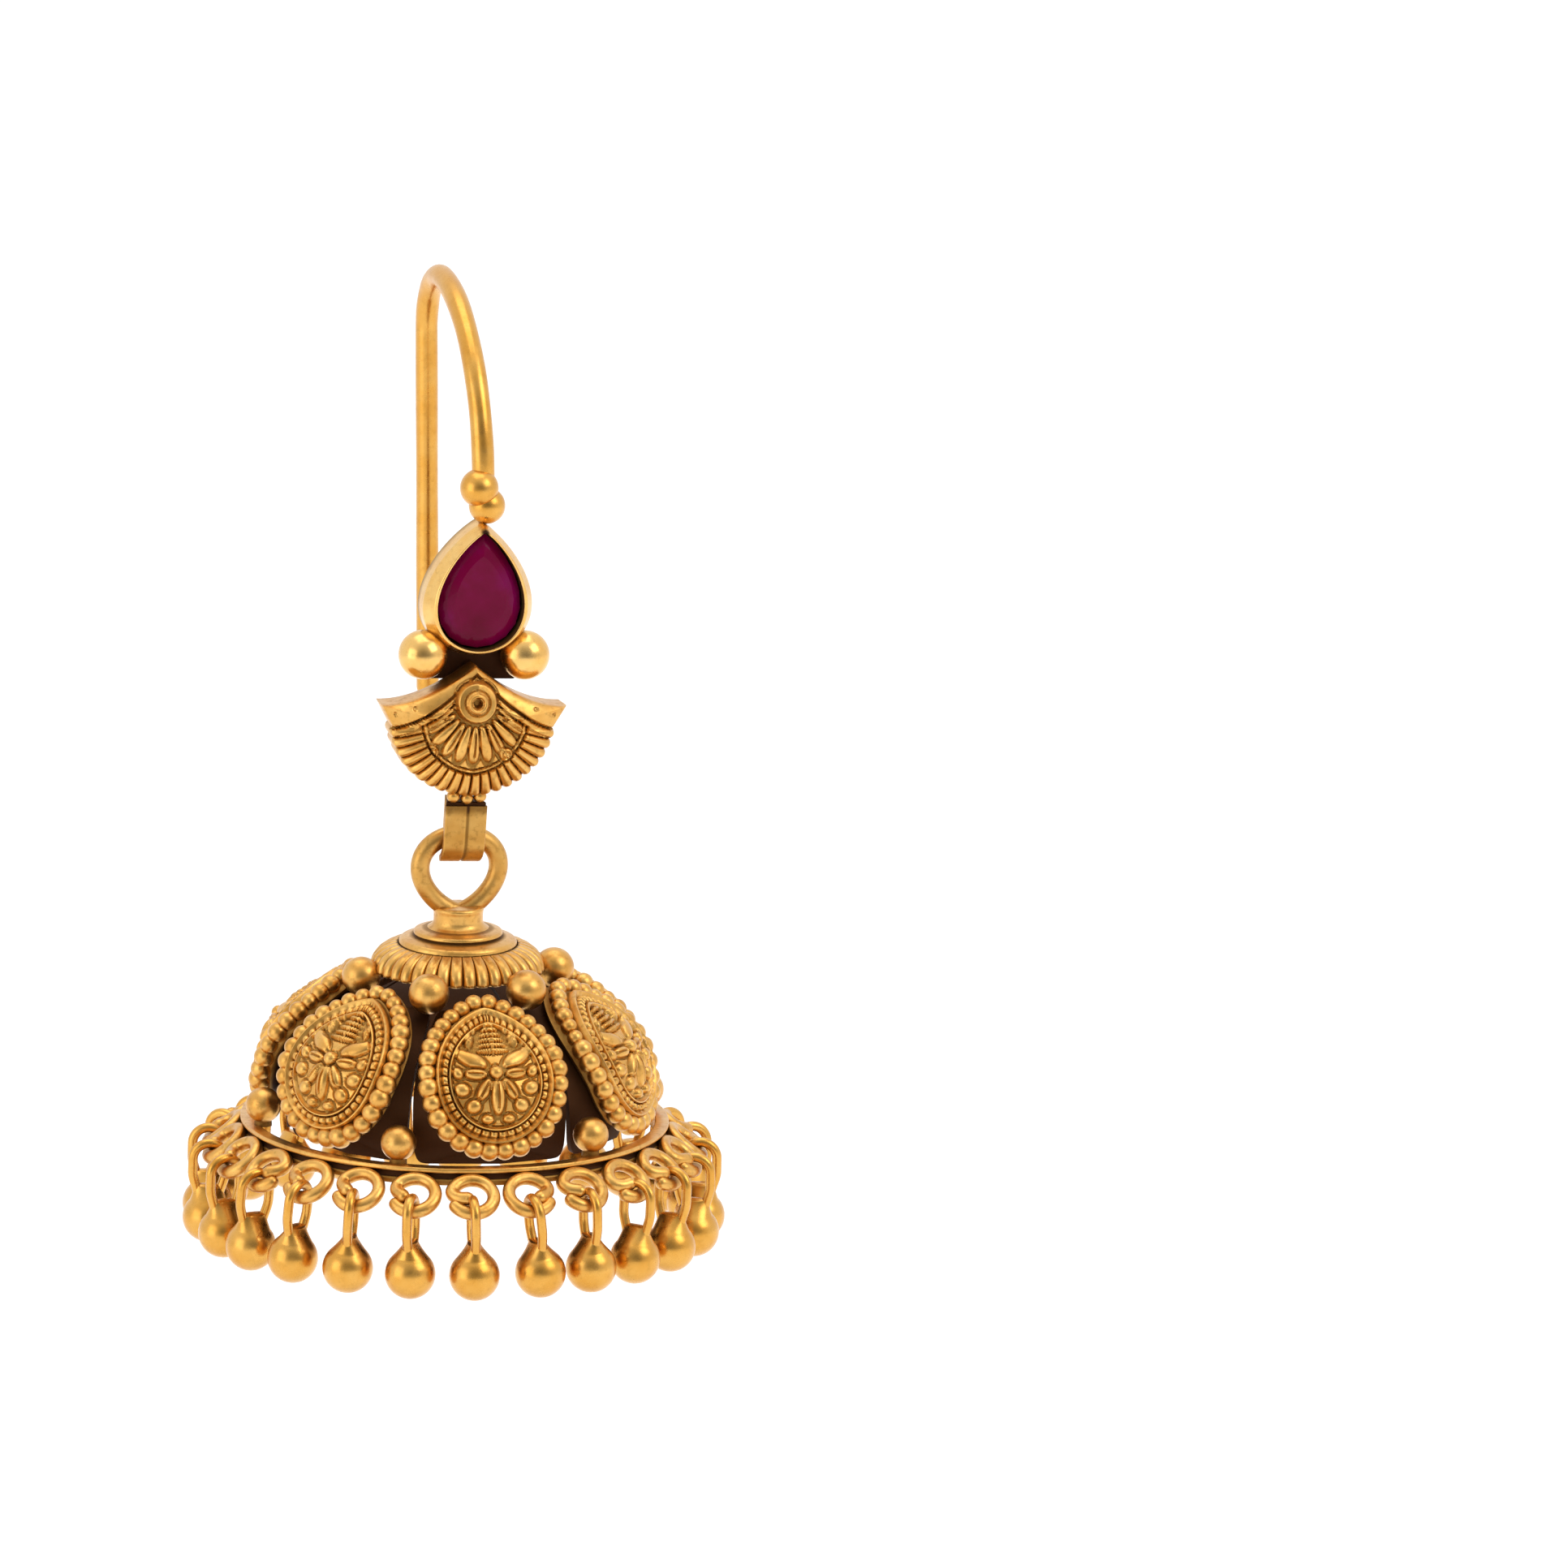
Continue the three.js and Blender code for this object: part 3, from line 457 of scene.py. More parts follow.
def gold(name, bright, deep, tarnish_and_shade, low, high, patina_and_shade_mm, dirt=1.0, grain=0.25):
    """A gold that is bright on worn heights, deep in hue by patches and tarnished in its recesses. Where
    parts crowd each other, an ambient occlusion mask also takes it towards the tarnish colour, which is
    painted shade as well as patina. low and high are its roughness; dirt is how much tarnish open surfaces
    keep."""
    material, nodes, links, surface = new_material(name)
    patches = ramp(nodes, links, noise(nodes, links, 900, 4), [(0.35, 0.0), (0.68, 1.0)])
    base = mixed(nodes, links, patches, bright, deep)
    relief_and_shade = nodes.new("ShaderNodeAttribute")
    relief_and_shade.attribute_name = "relief_and_shade"
    gold_share = ramp(nodes, links, relief_and_shade.outputs["Fac"], [(0.0, 0.0), (0.62, 1.0)])
    # Painted shade: ambient occlusion takes hollows, and places where parts crowd each other, towards the
    # tarnish colour, as patina and as painted shade.
    patina_and_shade = nodes.new("ShaderNodeAmbientOcclusion")
    patina_and_shade.samples = 6
    patina_and_shade.inputs["Distance"].default_value = patina_and_shade_mm * MM
    open_share = ramp(nodes, links, patina_and_shade.outputs["AO"], [(0.05, 0.3), (0.5, 1.0)])
    clean_and_lit = mixed(nodes, links, 1.0, gold_share, open_share, "MULTIPLY")
    specks = ramp(nodes, links, noise(nodes, links, 3200, 5, 0.65), [(0.25, 1 - dirt), (0.48, 1.0)])
    clean_and_lit = mixed(nodes, links, 1.0, clean_and_lit, specks, "MULTIPLY")
    links.new(mixed(nodes, links, clean_and_lit, tarnish_and_shade, base), surface.inputs["Base Color"])
    metal = ramp(nodes, links, clean_and_lit, [(0.0, 0.8), (0.5, 1.0)])
    links.new(metal, surface.inputs["Metallic"])
    fine = ramp(nodes, links, noise(nodes, links, 2600, 4), [(0.3, low), (0.75, high)])
    links.new(mixed(nodes, links, clean_and_lit, (0.62,) * 3, fine), surface.inputs["Roughness"])
    links.new(ramp(nodes, links, clean_and_lit, [(0.4, 0.0), (1.0, 0.4)]), surface.inputs["Coat Weight"])
    surface.inputs["Coat Roughness"].default_value = 0.3
    bump = nodes.new("ShaderNodeBump")
    bump.inputs["Strength"].default_value = grain
    bump.inputs["Distance"].default_value = 0.02 * MM
    links.new(noise(nodes, links, 5200, 5, 0.6), bump.inputs["Height"])
    links.new(bump.outputs["Normal"], surface.inputs["Normal"])
    return material


def ruby(name):
    material, nodes, links, surface = new_material(name)
    # The stone's colour varies in random patches from deep red to purple; the purple patches are painted
    # glints from its inner facets.
    depth = ramp(nodes, links, noise(nodes, links, 420, 3, 0.55), [(0.34, (0.115, 0.0, 0.018)),
                                                                  (0.55, (0.15, 0.0, 0.03)),
                                                                  (0.75, (0.18, 0.001, 0.07))])
    links.new(depth, surface.inputs["Base Color"])
    surface.inputs["Roughness"].default_value = 0.16
    surface.inputs["IOR"].default_value = 1.76
    surface.inputs["Specular IOR Level"].default_value = 0.06
    return material


ANTIQUE = gold("antique_gold", bright=(0.77, 0.43, 0.105), deep=(0.66, 0.32, 0.055),
               tarnish_and_shade=(0.06, 0.02, 0.004), low=0.28, high=0.42, patina_and_shade_mm=0.45, dirt=0.4)
SATIN = gold("satin_gold", bright=(0.74, 0.39, 0.075), deep=(0.68, 0.32, 0.04),
             tarnish_and_shade=(0.10, 0.035, 0.008), low=0.24, high=0.36, patina_and_shade_mm=0.5, dirt=0.15, grain=0.12)
POLISHED = gold("polished_gold", bright=(0.89, 0.56, 0.18), deep=(0.83, 0.46, 0.11),
                tarnish_and_shade=(0.04, 0.014, 0.004), low=0.18, high=0.3, patina_and_shade_mm=0.5, dirt=0.2, grain=0.1)
RUBY = ruby("ruby")


# Upper body

FRONT = Matrix.Translation(FRONT_FOOT) @ Matrix.Rotation(math.radians(LEAN_DEG), 4, "Y")
FLOOR_FRONT = BEZEL_BACK + BEZEL_FLOOR
CULET_FRONT = FLOOR_FRONT + STONE_CLEARANCE
GIRDLE_FRONT = CULET_FRONT + PAVILION_H
TABLE_FRONT = GIRDLE_FRONT + CROWN_H
BEZEL_FRONT = TABLE_FRONT + LIP_PROUD


def in_front(one, side, below):
    return moved(one, FRONT @ Matrix.Translation((side, 0, -below)))


def ear_hook():
    """A wire with a front arch, a rear bend and a straight leg, a little uneven, and its beads."""
    turn = np.linspace(0, math.pi / 2, 90)
    arch = np.stack([-HOOK_FRONT_REACH * np.cos(turn), -HOOK_FRONT_DROP * (1 - np.sin(turn))], axis=1)
    bend = np.stack([HOOK_BACK_REACH * np.sin(turn), -HOOK_BACK_REACH * (1 - np.cos(turn))], axis=1)
    leg_z = np.linspace(-HOOK_BACK_REACH, -HOOK_BACK_DROP, 60)
    leg = np.stack([np.full(len(leg_z), HOOK_BACK_REACH), leg_z], axis=1)
    flat = np.vstack([arch, bend[1:], leg[1:]])
    path = np.column_stack([np.zeros(len(flat)), flat])
    along = np.arange(len(flat))
    radius = WIRE_D / 2 * (1 + 0.012 * np.sin(along * 0.21) + 0.01 * np.sin(along * 0.083 + 1))
    wire = tube(path, radius, (1, 0, 0), 32)
    beads = [sphere(bead["radius"], (bead["side"], -HOOK_FRONT_REACH - bead["front"],
                                     -HOOK_FRONT_DROP - bead["below"]), 48, 30) for bead in COLLAR_BEADS]
    return join(wire, *beads)


def pear_rings(rows, columns, taper):
    """Rings of pears from rows of (width, height, front)."""
    outline = pear(full_turn(columns), taper)
    return np.array([np.column_stack([outline[:, 0] * w, np.full(columns, -front), outline[:, 1] * h])
                     for w, h, front in rows])


def ruby_stone():
    """A table, a crown of two rows of facets and a pavilion, each facet flat."""
    half_way = (TABLE_SHARE + 1) / 2
    rows = [
        (TABLE_SHARE, TABLE_FRONT, 0.0), (half_way, TABLE_FRONT - CROWN_H * 0.3, 0.5),
        (1.0, GIRDLE_FRONT + 0.03, 0.0), (1.0, GIRDLE_FRONT - 0.03, 0.0),
        (0.72, GIRDLE_FRONT - PAVILION_H * 0.45, 0.5), (CULET_SHARE, CULET_FRONT, 0.0),
    ]
    rings = []
    for share, front, shift in rows:
        turn = (np.arange(STONE_FACETS) + shift) * TAU / STONE_FACETS
        outline = pear(turn, STONE_TAPER)
        rings.append(np.column_stack([outline[:, 0] * STONE_W * share, np.full(STONE_FACETS, -front),
                                      outline[:, 1] * STONE_H * share]))
    points = np.vstack([*rings, [[0, -TABLE_FRONT, 0]], [[0, -CULET_FRONT, 0]]])
    n, faces = STONE_FACETS, []
    table, culet = len(rows) * n, len(rows) * n + 1
    for k in range(len(rows) - 1):
        same = rows[k][2] == rows[k + 1][2]
        step = 0 if same or rows[k][2] == 0 else 1
        for i in range(n):
            a, b = k * n + i, k * n + (i + 1) % n
            c, d = (k + 1) * n + (i + step) % n, (k + 1) * n + (i + step + 1) % n
            if same:
                faces.append([a, b, d, c])
            elif step:
                faces += [[a, b, c], [a, c, (k + 1) * n + i]]
            else:
                faces += [[a, b, c], [b, d, c]]
    for i in range(n):
        faces.append([table, (i + 1) % n, i])
        last = (len(rows) - 1) * n
        faces.append([culet, last + i, last + (i + 1) % n])
    return shell(points, faces)


def bezel_setting():
    """The cup with its sloping lip, which is dark at the stone's tip, the plate behind and its balls."""
    columns = 160
    cup = 2 * STONE_CLEARANCE
    lip = cup + 2 * LIP_W
    base = lip + 2 * BEZEL_FLARE
    slope_foot = BEZEL_FRONT - LIP_DEPTH
    profile = rounded([
        (cup, FLOOR_FRONT), (cup, BEZEL_FRONT), (lip, BEZEL_FRONT), (base * 0.93, slope_foot + 0.12),
        (base, slope_foot), (base, BEZEL_BACK + 0.05), (base - 0.1, BEZEL_BACK)], steps=5, size=0.09)
    rows = [(STONE_W + grow, STONE_H + cup + (grow - cup) * BEZEL_TIP_SHARE, front)
            for grow, front in profile]
    rings = pear_rings(rows, columns, STONE_TAPER)
    outside = smooth(BEZEL_BACK, slope_foot + 0.1, profile[:, 1]) * 0.75 + 0.25
    height = np.where(profile[:, 0] <= cup + 0.01, 0.12, outside)
    turn = full_turn(columns)
    notch = smooth(0.42, 0.2, np.minimum(turn, TAU - turn))[None, :] * smooth(1.25, 0.8, profile[:, :1])
    wall = skin(rings, height[:, None] * (1 - notch), start=(0, -FLOOR_FRONT, 0), end=(0, -BEZEL_BACK, 0))
    below = BEZEL_DROP - SIDE_BALL_DROP
    balls = [sphere(SIDE_BALL_R, (side * SIDE_BALL_SPACING / 2, -SIDE_BALL_FRONT, below), 56, 36)
             for side in (-1, 1)]
    bridge_at = (0, -BEZEL_BACK - BRIDGE[1] / 2 - BRIDGE_INSET, BEZEL_DROP - BRIDGE_DROP)
    bridge = rounded_box(BRIDGE, bridge_at, 0.12, 0.0)
    return join(wall, bridge, *balls)


def fan_edge(x):
    """Height of the fan's hollow upper edge at a distance x from its middle."""
    s = np.linspace(0, 1, 200)
    across = 2 * (1 - s) * s * FAN_HOLLOW[0] + s * s * FAN_TIP[0]
    up = (1 - s) ** 2 * FAN_APEX_UP + 2 * (1 - s) * s * FAN_HOLLOW[1] + s * s * FAN_TIP[1]
    return np.interp(np.abs(x), across, up)


def fan_outline(edge_steps=70, rib_steps=14):
    """Points of the fan's outline, from its apex clockwise, and each point's share across its rib."""
    s = np.linspace(0, 1, edge_steps)
    across = 2 * (1 - s) * s * FAN_HOLLOW[0] + s * s * FAN_TIP[0]
    edge = np.column_stack([across, fan_edge(across)])
    start = math.radians(FAN_ARC_START_DEG)
    steps = FAN_RIBS * rib_steps
    share = np.linspace(0, 1, steps + 1)
    turn = start - (math.pi + 2 * start) * share
    lobe = np.abs(np.sin(math.pi * FAN_RIBS * share))
    radius = FAN_R - FAN_RIB_H * 0.9 * (1 - lobe ** 0.6)
    arc = np.column_stack([radius * np.cos(turn), FAN_FLAT * radius * np.sin(turn)])
    corner = np.linspace(edge[-1], arc[0], 14)[1:-1]
    mirror = [-1, 1]
    outline = np.vstack([edge, corner, arc, (corner * mirror)[::-1], (edge[1:] * mirror)[::-1]])
    plain = np.zeros(len(edge) + len(corner))
    return outline, np.concatenate([plain, lobe, plain[1:]])


def ridge(distance, centre, half_width):
    """A half-round ridge one unit high."""
    return np.sqrt(np.clip(1 - ((distance - centre) / half_width) ** 2, 0, None))


class Carving:
    """Chased relief over points (x, z): how far it rises, and how dark the lines cut into it are."""

    def __init__(self, x, z):
        self.x, self.z = x, z
        self.rise = np.zeros(np.broadcast(x, z).shape)
        self.line = np.zeros_like(self.rise)

    def raised(self, share, height, gap, groove):
        """Adds what lies inside share 1 on top of the carving, with a groove where gap runs from 0."""
        inside = share < 1
        dome = height * np.sqrt(np.clip(1 - share ** 2, 0, None))
        self.rise = np.where(inside, np.maximum(self.rise, dome), self.rise)
        self.line = np.where(inside, 0, np.maximum(self.line, ridge(gap, groove, groove)))

    def oval(self, cx, cz, along, across, degrees=0.0, height=0.2, groove=0.07, vein=0.0, flare=0.0):
        turn = math.radians(degrees)
        dx, dz = self.x - cx, self.z - cz
        u = (dx * math.cos(turn) + dz * math.sin(turn)) / along
        v = (dz * math.cos(turn) - dx * math.sin(turn)) / (across * (1 + flare * np.clip(u, -1, 1)))
        share = np.hypot(u, v)
        self.raised(share, height, (share - 1) * across, groove)
        if vein:
            cut = ridge(v * across, 0, vein) * smooth(0.8, 0.55, np.abs(u))
            self.line = np.maximum(self.line, cut)
            self.rise = self.rise - 0.6 * vein * cut

    def band(self, distance, centre, half_width, height=0.15, groove=0.06, where=True):
        away = np.abs(distance - centre)
        share = np.where(where, away / half_width, 9)
        self.raised(share, height, np.where(where, away - half_width, 9), groove)

    def surface(self, ground, dark, depth=0.09):
        """How far the surface stands out, and how worn it is."""
        gold_share = ground + (1 - ground) * smooth(0.0, 0.12, self.rise)
        return self.rise - depth * self.line, np.clip(gold_share - dark * self.line, 0, 1)


def fan_carving(x, z):
    """Petals below a boss, ribs along the rounded edge, two rosettes and a plain rim on the hollow edge."""
    carving = Carving(x, z)
    tall = np.where(z < 0, z / FAN_FLAT, z)
    rho, turn = np.hypot(x, tall), np.arctan2(tall, x)
    start = math.radians(FAN_ARC_START_DEG)
    place = (start - turn) / (math.pi + 2 * start) * FAN_RIBS
    lobe = np.abs(np.sin(math.pi * place))
    ribs_from = RIBS_FROM - 0.3 * np.abs(np.cos(turn))
    in_ribs = ((turn < start + 0.02) | (turn > math.pi - start)) & (rho > ribs_from)
    swing = PETAL_SPREAD_DEG / (FAN_PETALS - 1)
    reach, half = (PETAL_TO + PETAL_FROM) / 2, (PETAL_TO - PETAL_FROM) / 2
    for k in range(FAN_PETALS):
        off = k - (FAN_PETALS - 1) / 2
        degrees = -90 + off * swing
        direction = math.radians(degrees)
        carving.oval(reach * math.cos(direction), BOSS_UP + reach * math.sin(direction), half,
                     0.29 - 0.012 * abs(off), degrees, 0.24, 0.05, vein=0.05 if k % 2 else 0, flare=0.25)
    carving.band(rho, ribs_from - 0.12, 0.08, 0.09, 0.04, where=turn < 0)
    for cx, cz in ROSETTES:
        carving.oval(cx, cz, 0.34, 0.34, 0, 0.26)
        carving.oval(cx, cz, 0.13, 0.13, 0, 0.3, 0.05)
    rib = 0.2 * lobe ** 0.6 * smooth(0.0, 0.14, rho - ribs_from)
    carving.rise = np.where(in_ribs, rib, carving.rise)
    carving.line = np.where(in_ribs, np.maximum(smooth(0.34, 0.06, lobe), smooth(0.1, 0.0, rho - ribs_from)),
                            carving.line)
    below_edge = (fan_edge(x) - z) * 0.86
    width = 0.33 + 0.175 * np.abs(x)
    plain = below_edge < width + 0.06
    carving.rise = np.where(plain, 0.17 * smooth(width, width - 0.12, below_edge), carving.rise)
    carving.line = np.where(plain, smooth(width - 0.04, width, below_edge), carving.line)
    carving.band(below_edge, width + 0.22, 0.13, 0.15, 0.05, where=np.abs(x) < 3.9)
    carving.band(below_edge, width + 0.52, 0.09, 0.1, 0.05, where=np.abs(x) < 2.3)
    for across, below in FAN_PITS:
        for side in (-1, 1):
            pit = np.hypot(x - side * across, z - fan_edge(across) + below)
            carving.line = np.maximum(carving.line, smooth(0.13, 0.07, pit))
    from_boss = np.hypot(x, z - BOSS_UP)
    carving.oval(0, BOSS_UP, BOSS_R, BOSS_R, 0, 0.0, 0.06)
    disc = from_boss < BOSS_R
    carving.rise = np.where(disc, BOSS_PROUD * smooth(BOSS_R, BOSS_R - 0.2, from_boss), carving.rise)
    carving.band(from_boss, 0.4, 0.17, BOSS_PROUD + 0.16, 0.05)
    hole = smooth(0.24, 0.16, from_boss)
    carving.rise = carving.rise - 0.3 * hole
    carving.line = np.maximum(carving.line, 0.75 * hole)
    return carving.surface(0.82, 0.56)


def fan_plaque():
    """The carved dome with its side wall and flat back, and the grains under it."""
    back = BEZEL_BACK + BRIDGE[1] + CLEARANCE
    front = back + FAN_WALL
    outline, lobe = fan_outline()
    centre = np.array([0, FAN_CENTRE_UP])
    share = np.sin(np.linspace(0, math.pi / 2, 96)[1:]) ** 0.9
    flat = centre + share[:, None, None] * (outline - centre)
    carved, gold_share = fan_carving(flat[..., 0], flat[..., 1])
    fade = smooth(1.0, 0.985, share)[:, None]
    dome = front + FAN_DOME * np.sqrt(np.clip(1 - share * share, 0, None))[:, None]
    top = np.stack([flat[..., 0], -(dome + carved * (0.35 + 0.65 * fade)), flat[..., 1]], axis=-1)
    side_rows, side_worn = [], []
    for depth, inset in FAN_SIDE_ROWS:
        shrink = 1 - inset / FAN_R
        edge = centre + (outline - centre) * shrink
        side_rows.append(np.column_stack([edge[:, 0], np.full(len(edge), -(front - depth)), edge[:, 1]]))
        side_worn.append(0.6 + 0.2 * lobe)
    rings = np.concatenate([top, np.array(side_rows)])
    height = np.concatenate([gold_share, np.array(side_worn)])
    peak_cut, _ = fan_carving(np.array([0.0]), np.array([FAN_CENTRE_UP]))
    body = skin(rings, height, start=(0, -(front + FAN_DOME + peak_cut[0]), FAN_CENTRE_UP),
                end=(0, -back, FAN_CENTRE_UP))
    grains = [sphere(FAN_GRAIN_R, (x, -(front - 0.1), z), 20, 12) for x, z in FAN_GRAINS]
    return join(body, *grains)


def strap_section(width, thick, corner, steps=5):
    """A rounded rectangle, as (across, out) points."""
    points = []
    for sx, sy, start in ((1, 1, 0), (-1, 1, 90), (-1, -1, 180), (1, -1, 270)):
        for step in range(steps):
            turn = math.radians(start + 90 * step / (steps - 1))
            points.append((sx * (width / 2 - corner) + corner * math.cos(turn),
                           sy * (thick / 2 - corner) + corner * math.sin(turn)))
        if (sx, sy) == (1, 1):
            points += [(x, thick / 2) for x in np.linspace(width / 2 - corner, corner - width / 2, 26)[1:-1]]
    return np.array(points)


def bail_loop():
    """A strap bent to a U, with a seam and narrower at the rear, and the bar that closes it on top."""
    bar_top = BAIL_DROP - FAN_DROP - FAN_R - CLEARANCE
    middle_r = BAIL_INNER_R + BAIL_T / 2
    turn = np.linspace(math.pi, TAU, 40)
    bend = np.column_stack([middle_r * np.cos(turn), middle_r * np.sin(turn)])
    rise = np.linspace(0, bar_top - BAIL_BAR_H / 2, 14)[1:]
    path = np.vstack([np.column_stack([np.full(13, -middle_r), rise[::-1]]), bend,
                      np.column_stack([np.full(13, middle_r), rise])])
    ahead = np.gradient(path, axis=0)
    ahead /= np.linalg.norm(ahead, axis=1, keepdims=True)
    out = np.column_stack([ahead[:, 1], -ahead[:, 0]])
    section = strap_section(BAIL_W, BAIL_T, 0.09)
    seam = 0.05 * ridge(section[:, 0], 0.08, 0.1) * (section[:, 1] > 0)
    narrow = 1 - 0.48 * smooth(-0.5, middle_r, path[:, 0])
    rings = np.empty((len(path), len(section), 3))
    rings[..., 0] = section[None, :, 0] * narrow[:, None]
    rings[..., 1:] = path[:, None, :] + out[:, None, :] * (section[:, 1] - seam)[None, :, None]
    # Painted shade: the strap darkens towards its top, under the fan's overhang; the seam is a real dark
    # line.
    gold_share = (0.2 + 0.3 * smooth(bar_top - 0.3, bar_top - 0.75, path[:, 1]))[:, None] - 6 * seam[None, :]
    strap = skin(rings, np.clip(gold_share, 0, 1), start=rings[0].mean(0), end=rings[-1].mean(0))
    bar_size = (BAIL_W - 0.04, 2 * BAIL_INNER_R + BAIL_T, BAIL_BAR_H)
    # Painted shade: the bar gets height 0, the darkest tarnish colour, standing for the fan's shadow on it.
    bar = rounded_box(bar_size, (0, 0, bar_top - BAIL_BAR_H / 2), 0.08, 0.0)
    bar[0][:, 0] *= 1 - 0.27 * (bar[0][:, 1] + middle_r)
    return join(strap, bar)


add_piece("ear_hook_wire", ear_hook(), SATIN, "ear_top", "satin_gold", "ear_hook")
add_piece("ruby", in_front(ruby_stone(), 0, BEZEL_DROP), RUBY, "ear_top", "ruby",
          "ruby_stone", sharp_deg=3)
add_piece("bezel", in_front(bezel_setting(), 0, BEZEL_DROP), POLISHED, "ear_top", "polished_gold",
          "bezel_setting")
add_piece("fan", in_front(fan_plaque(), FAN_SIDE, FAN_DROP), ANTIQUE, "ear_top", "antique_gold",
          "fan_plaque")
add_piece("bail", in_front(bail_loop(), FAN_SIDE, BAIL_DROP), ANTIQUE, "ear_top", "antique_gold",
          "bail_loop")


# Drop

ring_hole_r = RING_R - RING_WIRE_D / 2
ring_below_bail = BAIL_INNER_R - LINK_CLEARANCE + math.sqrt(ring_hole_r ** 2 - (BAIL_W / 2) ** 2)
RING_MIDDLE = FRONT @ Vector((FAN_SIDE, 0, -BAIL_DROP)) - Vector((0, 0, ring_below_bail))
DROP = Matrix.Translation(RING_MIDDLE) @ Matrix.Rotation(math.radians(DROP_LEAN_DEG), 4, "Y")
NECK_TOP = -NECK_TOP_BELOW_RING
NECK_FOOT = NECK_TOP - NECK_H
BELL_TOP = NECK_FOOT - CAP_H + BELL_ABOVE_CAP_EDGE
BELL_FOOT = BELL_TOP - BELL_H
RIM_TOP = BELL_FOOT - RIM_BELOW_BELL


def granule(size, at, z, degrees):
    return moved(sphere(size, (0, -at, z), 40, 26), turn_z(degrees))


def drop_cap():
    """The ring, its neck, the stepped cap with its gadrooned skirt, and the granules round its edge."""
    edge_z = NECK_FOOT - CAP_H
    turn = full_turn(160)
    outline = pear(turn, RING_TAPER) * 2 * RING_R
    path = np.column_stack([outline[:, 0], np.zeros(len(turn)), -outline[:, 1]])
    ring = tube(path, RING_WIRE_D / 2, (0, 1, 0), 32, closed=True, height=0.53)
    neck = lathe(rounded([
        (0, NECK_TOP + 0.05), (NECK_R - 0.1, NECK_TOP + 0.03), (NECK_R, NECK_TOP - 0.1),
        (NECK_R - 0.05, NECK_TOP - 0.3), (NECK_R - 0.05, NECK_FOOT + 0.25),
        (NECK_R + 0.05, NECK_FOOT + 0.06), (NECK_R + 0.3, NECK_FOOT - 0.08),
        (0, NECK_FOOT - 0.1)], size=0.1), 96)
    # Rings from the neck's foot down to where the gadroons start: radius, below, and how worn
    steps = np.array([
        (1.35, 0.02, 0.2), (1.7, 0.1, 0.3), (1.95, 0.14, 0.9), (2.16, 0.2, 1), (2.2, 0.34, 1),
        (2.1, 0.42, 0.1), (2.2, 0.47, 0.05), (2.5, 0.52, 0.8), (2.8, 0.6, 1), (2.9, 0.72, 1),
        (2.92, 0.86, 1), (2.82, 0.96, 0.1), (2.78, 1.02, 0)])
    flat = rounded(steps * [1, -1, 1] + [0, NECK_FOOT, 0], size=0.06)
    stepped = lathe([(0, NECK_FOOT), *flat[:, :2], (0, NECK_FOOT - 1.1)], 160, height=flat[:, 2])
    skirt = []
    for share in np.linspace(0, 1, 22):
        rise = math.radians(8 + 84 * share)
        skirt.append((SKIRT_TOP_R + (CAP_R - SKIRT_TOP_R) * math.sin(rise),
                      edge_z + SKIRT_H * math.cos(rise)))
    skirt += [(CAP_R - 0.05, edge_z - 0.1), (CAP_R - 0.25, edge_z - 0.14), (CAP_R - 0.5, edge_z),
              (0, NECK_FOOT - 1.3)]

    def lobes(columns):
        share = np.mod(columns * GADROONS / TAU, 1)
        return np.sqrt(np.clip(1 - (2 * share - 1) ** 2, 0, None))

    def ribs(rows, columns):
        outside = smooth(2.9, 3.3, rows[:, 0])[:, None] * (rows[:, 1] > edge_z - 0.2)[:, None]
        return -GADROON_DEPTH * (1 - lobes(columns))[None, :] * outside

    columns = GADROONS * 14
    rows = np.array(skirt)[:-1]
    gold_share = (smooth(0.1, 0.65, lobes(full_turn(columns)))[None, :]
            * smooth(2.95, 3.2, rows[:, 0])[:, None])
    under = lathe(skirt, columns, wave=ribs, height=gold_share)
    balls = [granule(UPPER_GRANULE_R * size, CAP_R + UPPER_GRANULE_R * out,
                     edge_z - UPPER_GRANULE_R * below, degrees)
             for degrees, size, out, below in UPPER_GRANULES]
    return join(ring, neck, stepped, under, *balls)


def dome_table(steps=600):
    """The dome's profile as a smooth curve through its points: radius, z and direction by arc share."""
    points = np.array([(BELL_R * r, BELL_TOP - BELL_H * below) for r, below in BELL_PROFILE])
    padded = np.vstack([2 * points[0] - points[1], points, 2 * points[-1] - points[-2]])
    curve = []
    for k in range(len(points) - 1):
        a, b, c, d = padded[k:k + 4]
        for s in np.linspace(0, 1, 40, endpoint=False):
            curve.append(0.5 * (2 * b + (c - a) * s + (2 * a - 5 * b + 4 * c - d) * s ** 2
                                + (3 * b - a - 3 * c + d) * s ** 3))
    curve = np.array([*curve, points[-1]])
    length = np.concatenate([[0], np.cumsum(np.linalg.norm(np.diff(curve, axis=0), axis=1))])
    share = np.linspace(0, 1, steps)
    radius = np.interp(share * length[-1], length, curve[:, 0])
    z = np.interp(share * length[-1], length, curve[:, 1])
    ahead = np.stack([np.gradient(radius), np.gradient(z)], axis=1)
    ahead /= np.linalg.norm(ahead, axis=1, keepdims=True)
    return share, radius, z, ahead, length[-1]


DOME = dome_table()
PLAQUE_H = DOME[4]
PLAQUE_WIDEST_UP = -PLAQUE_TAPER / (2 + PLAQUE_TAPER) / 2


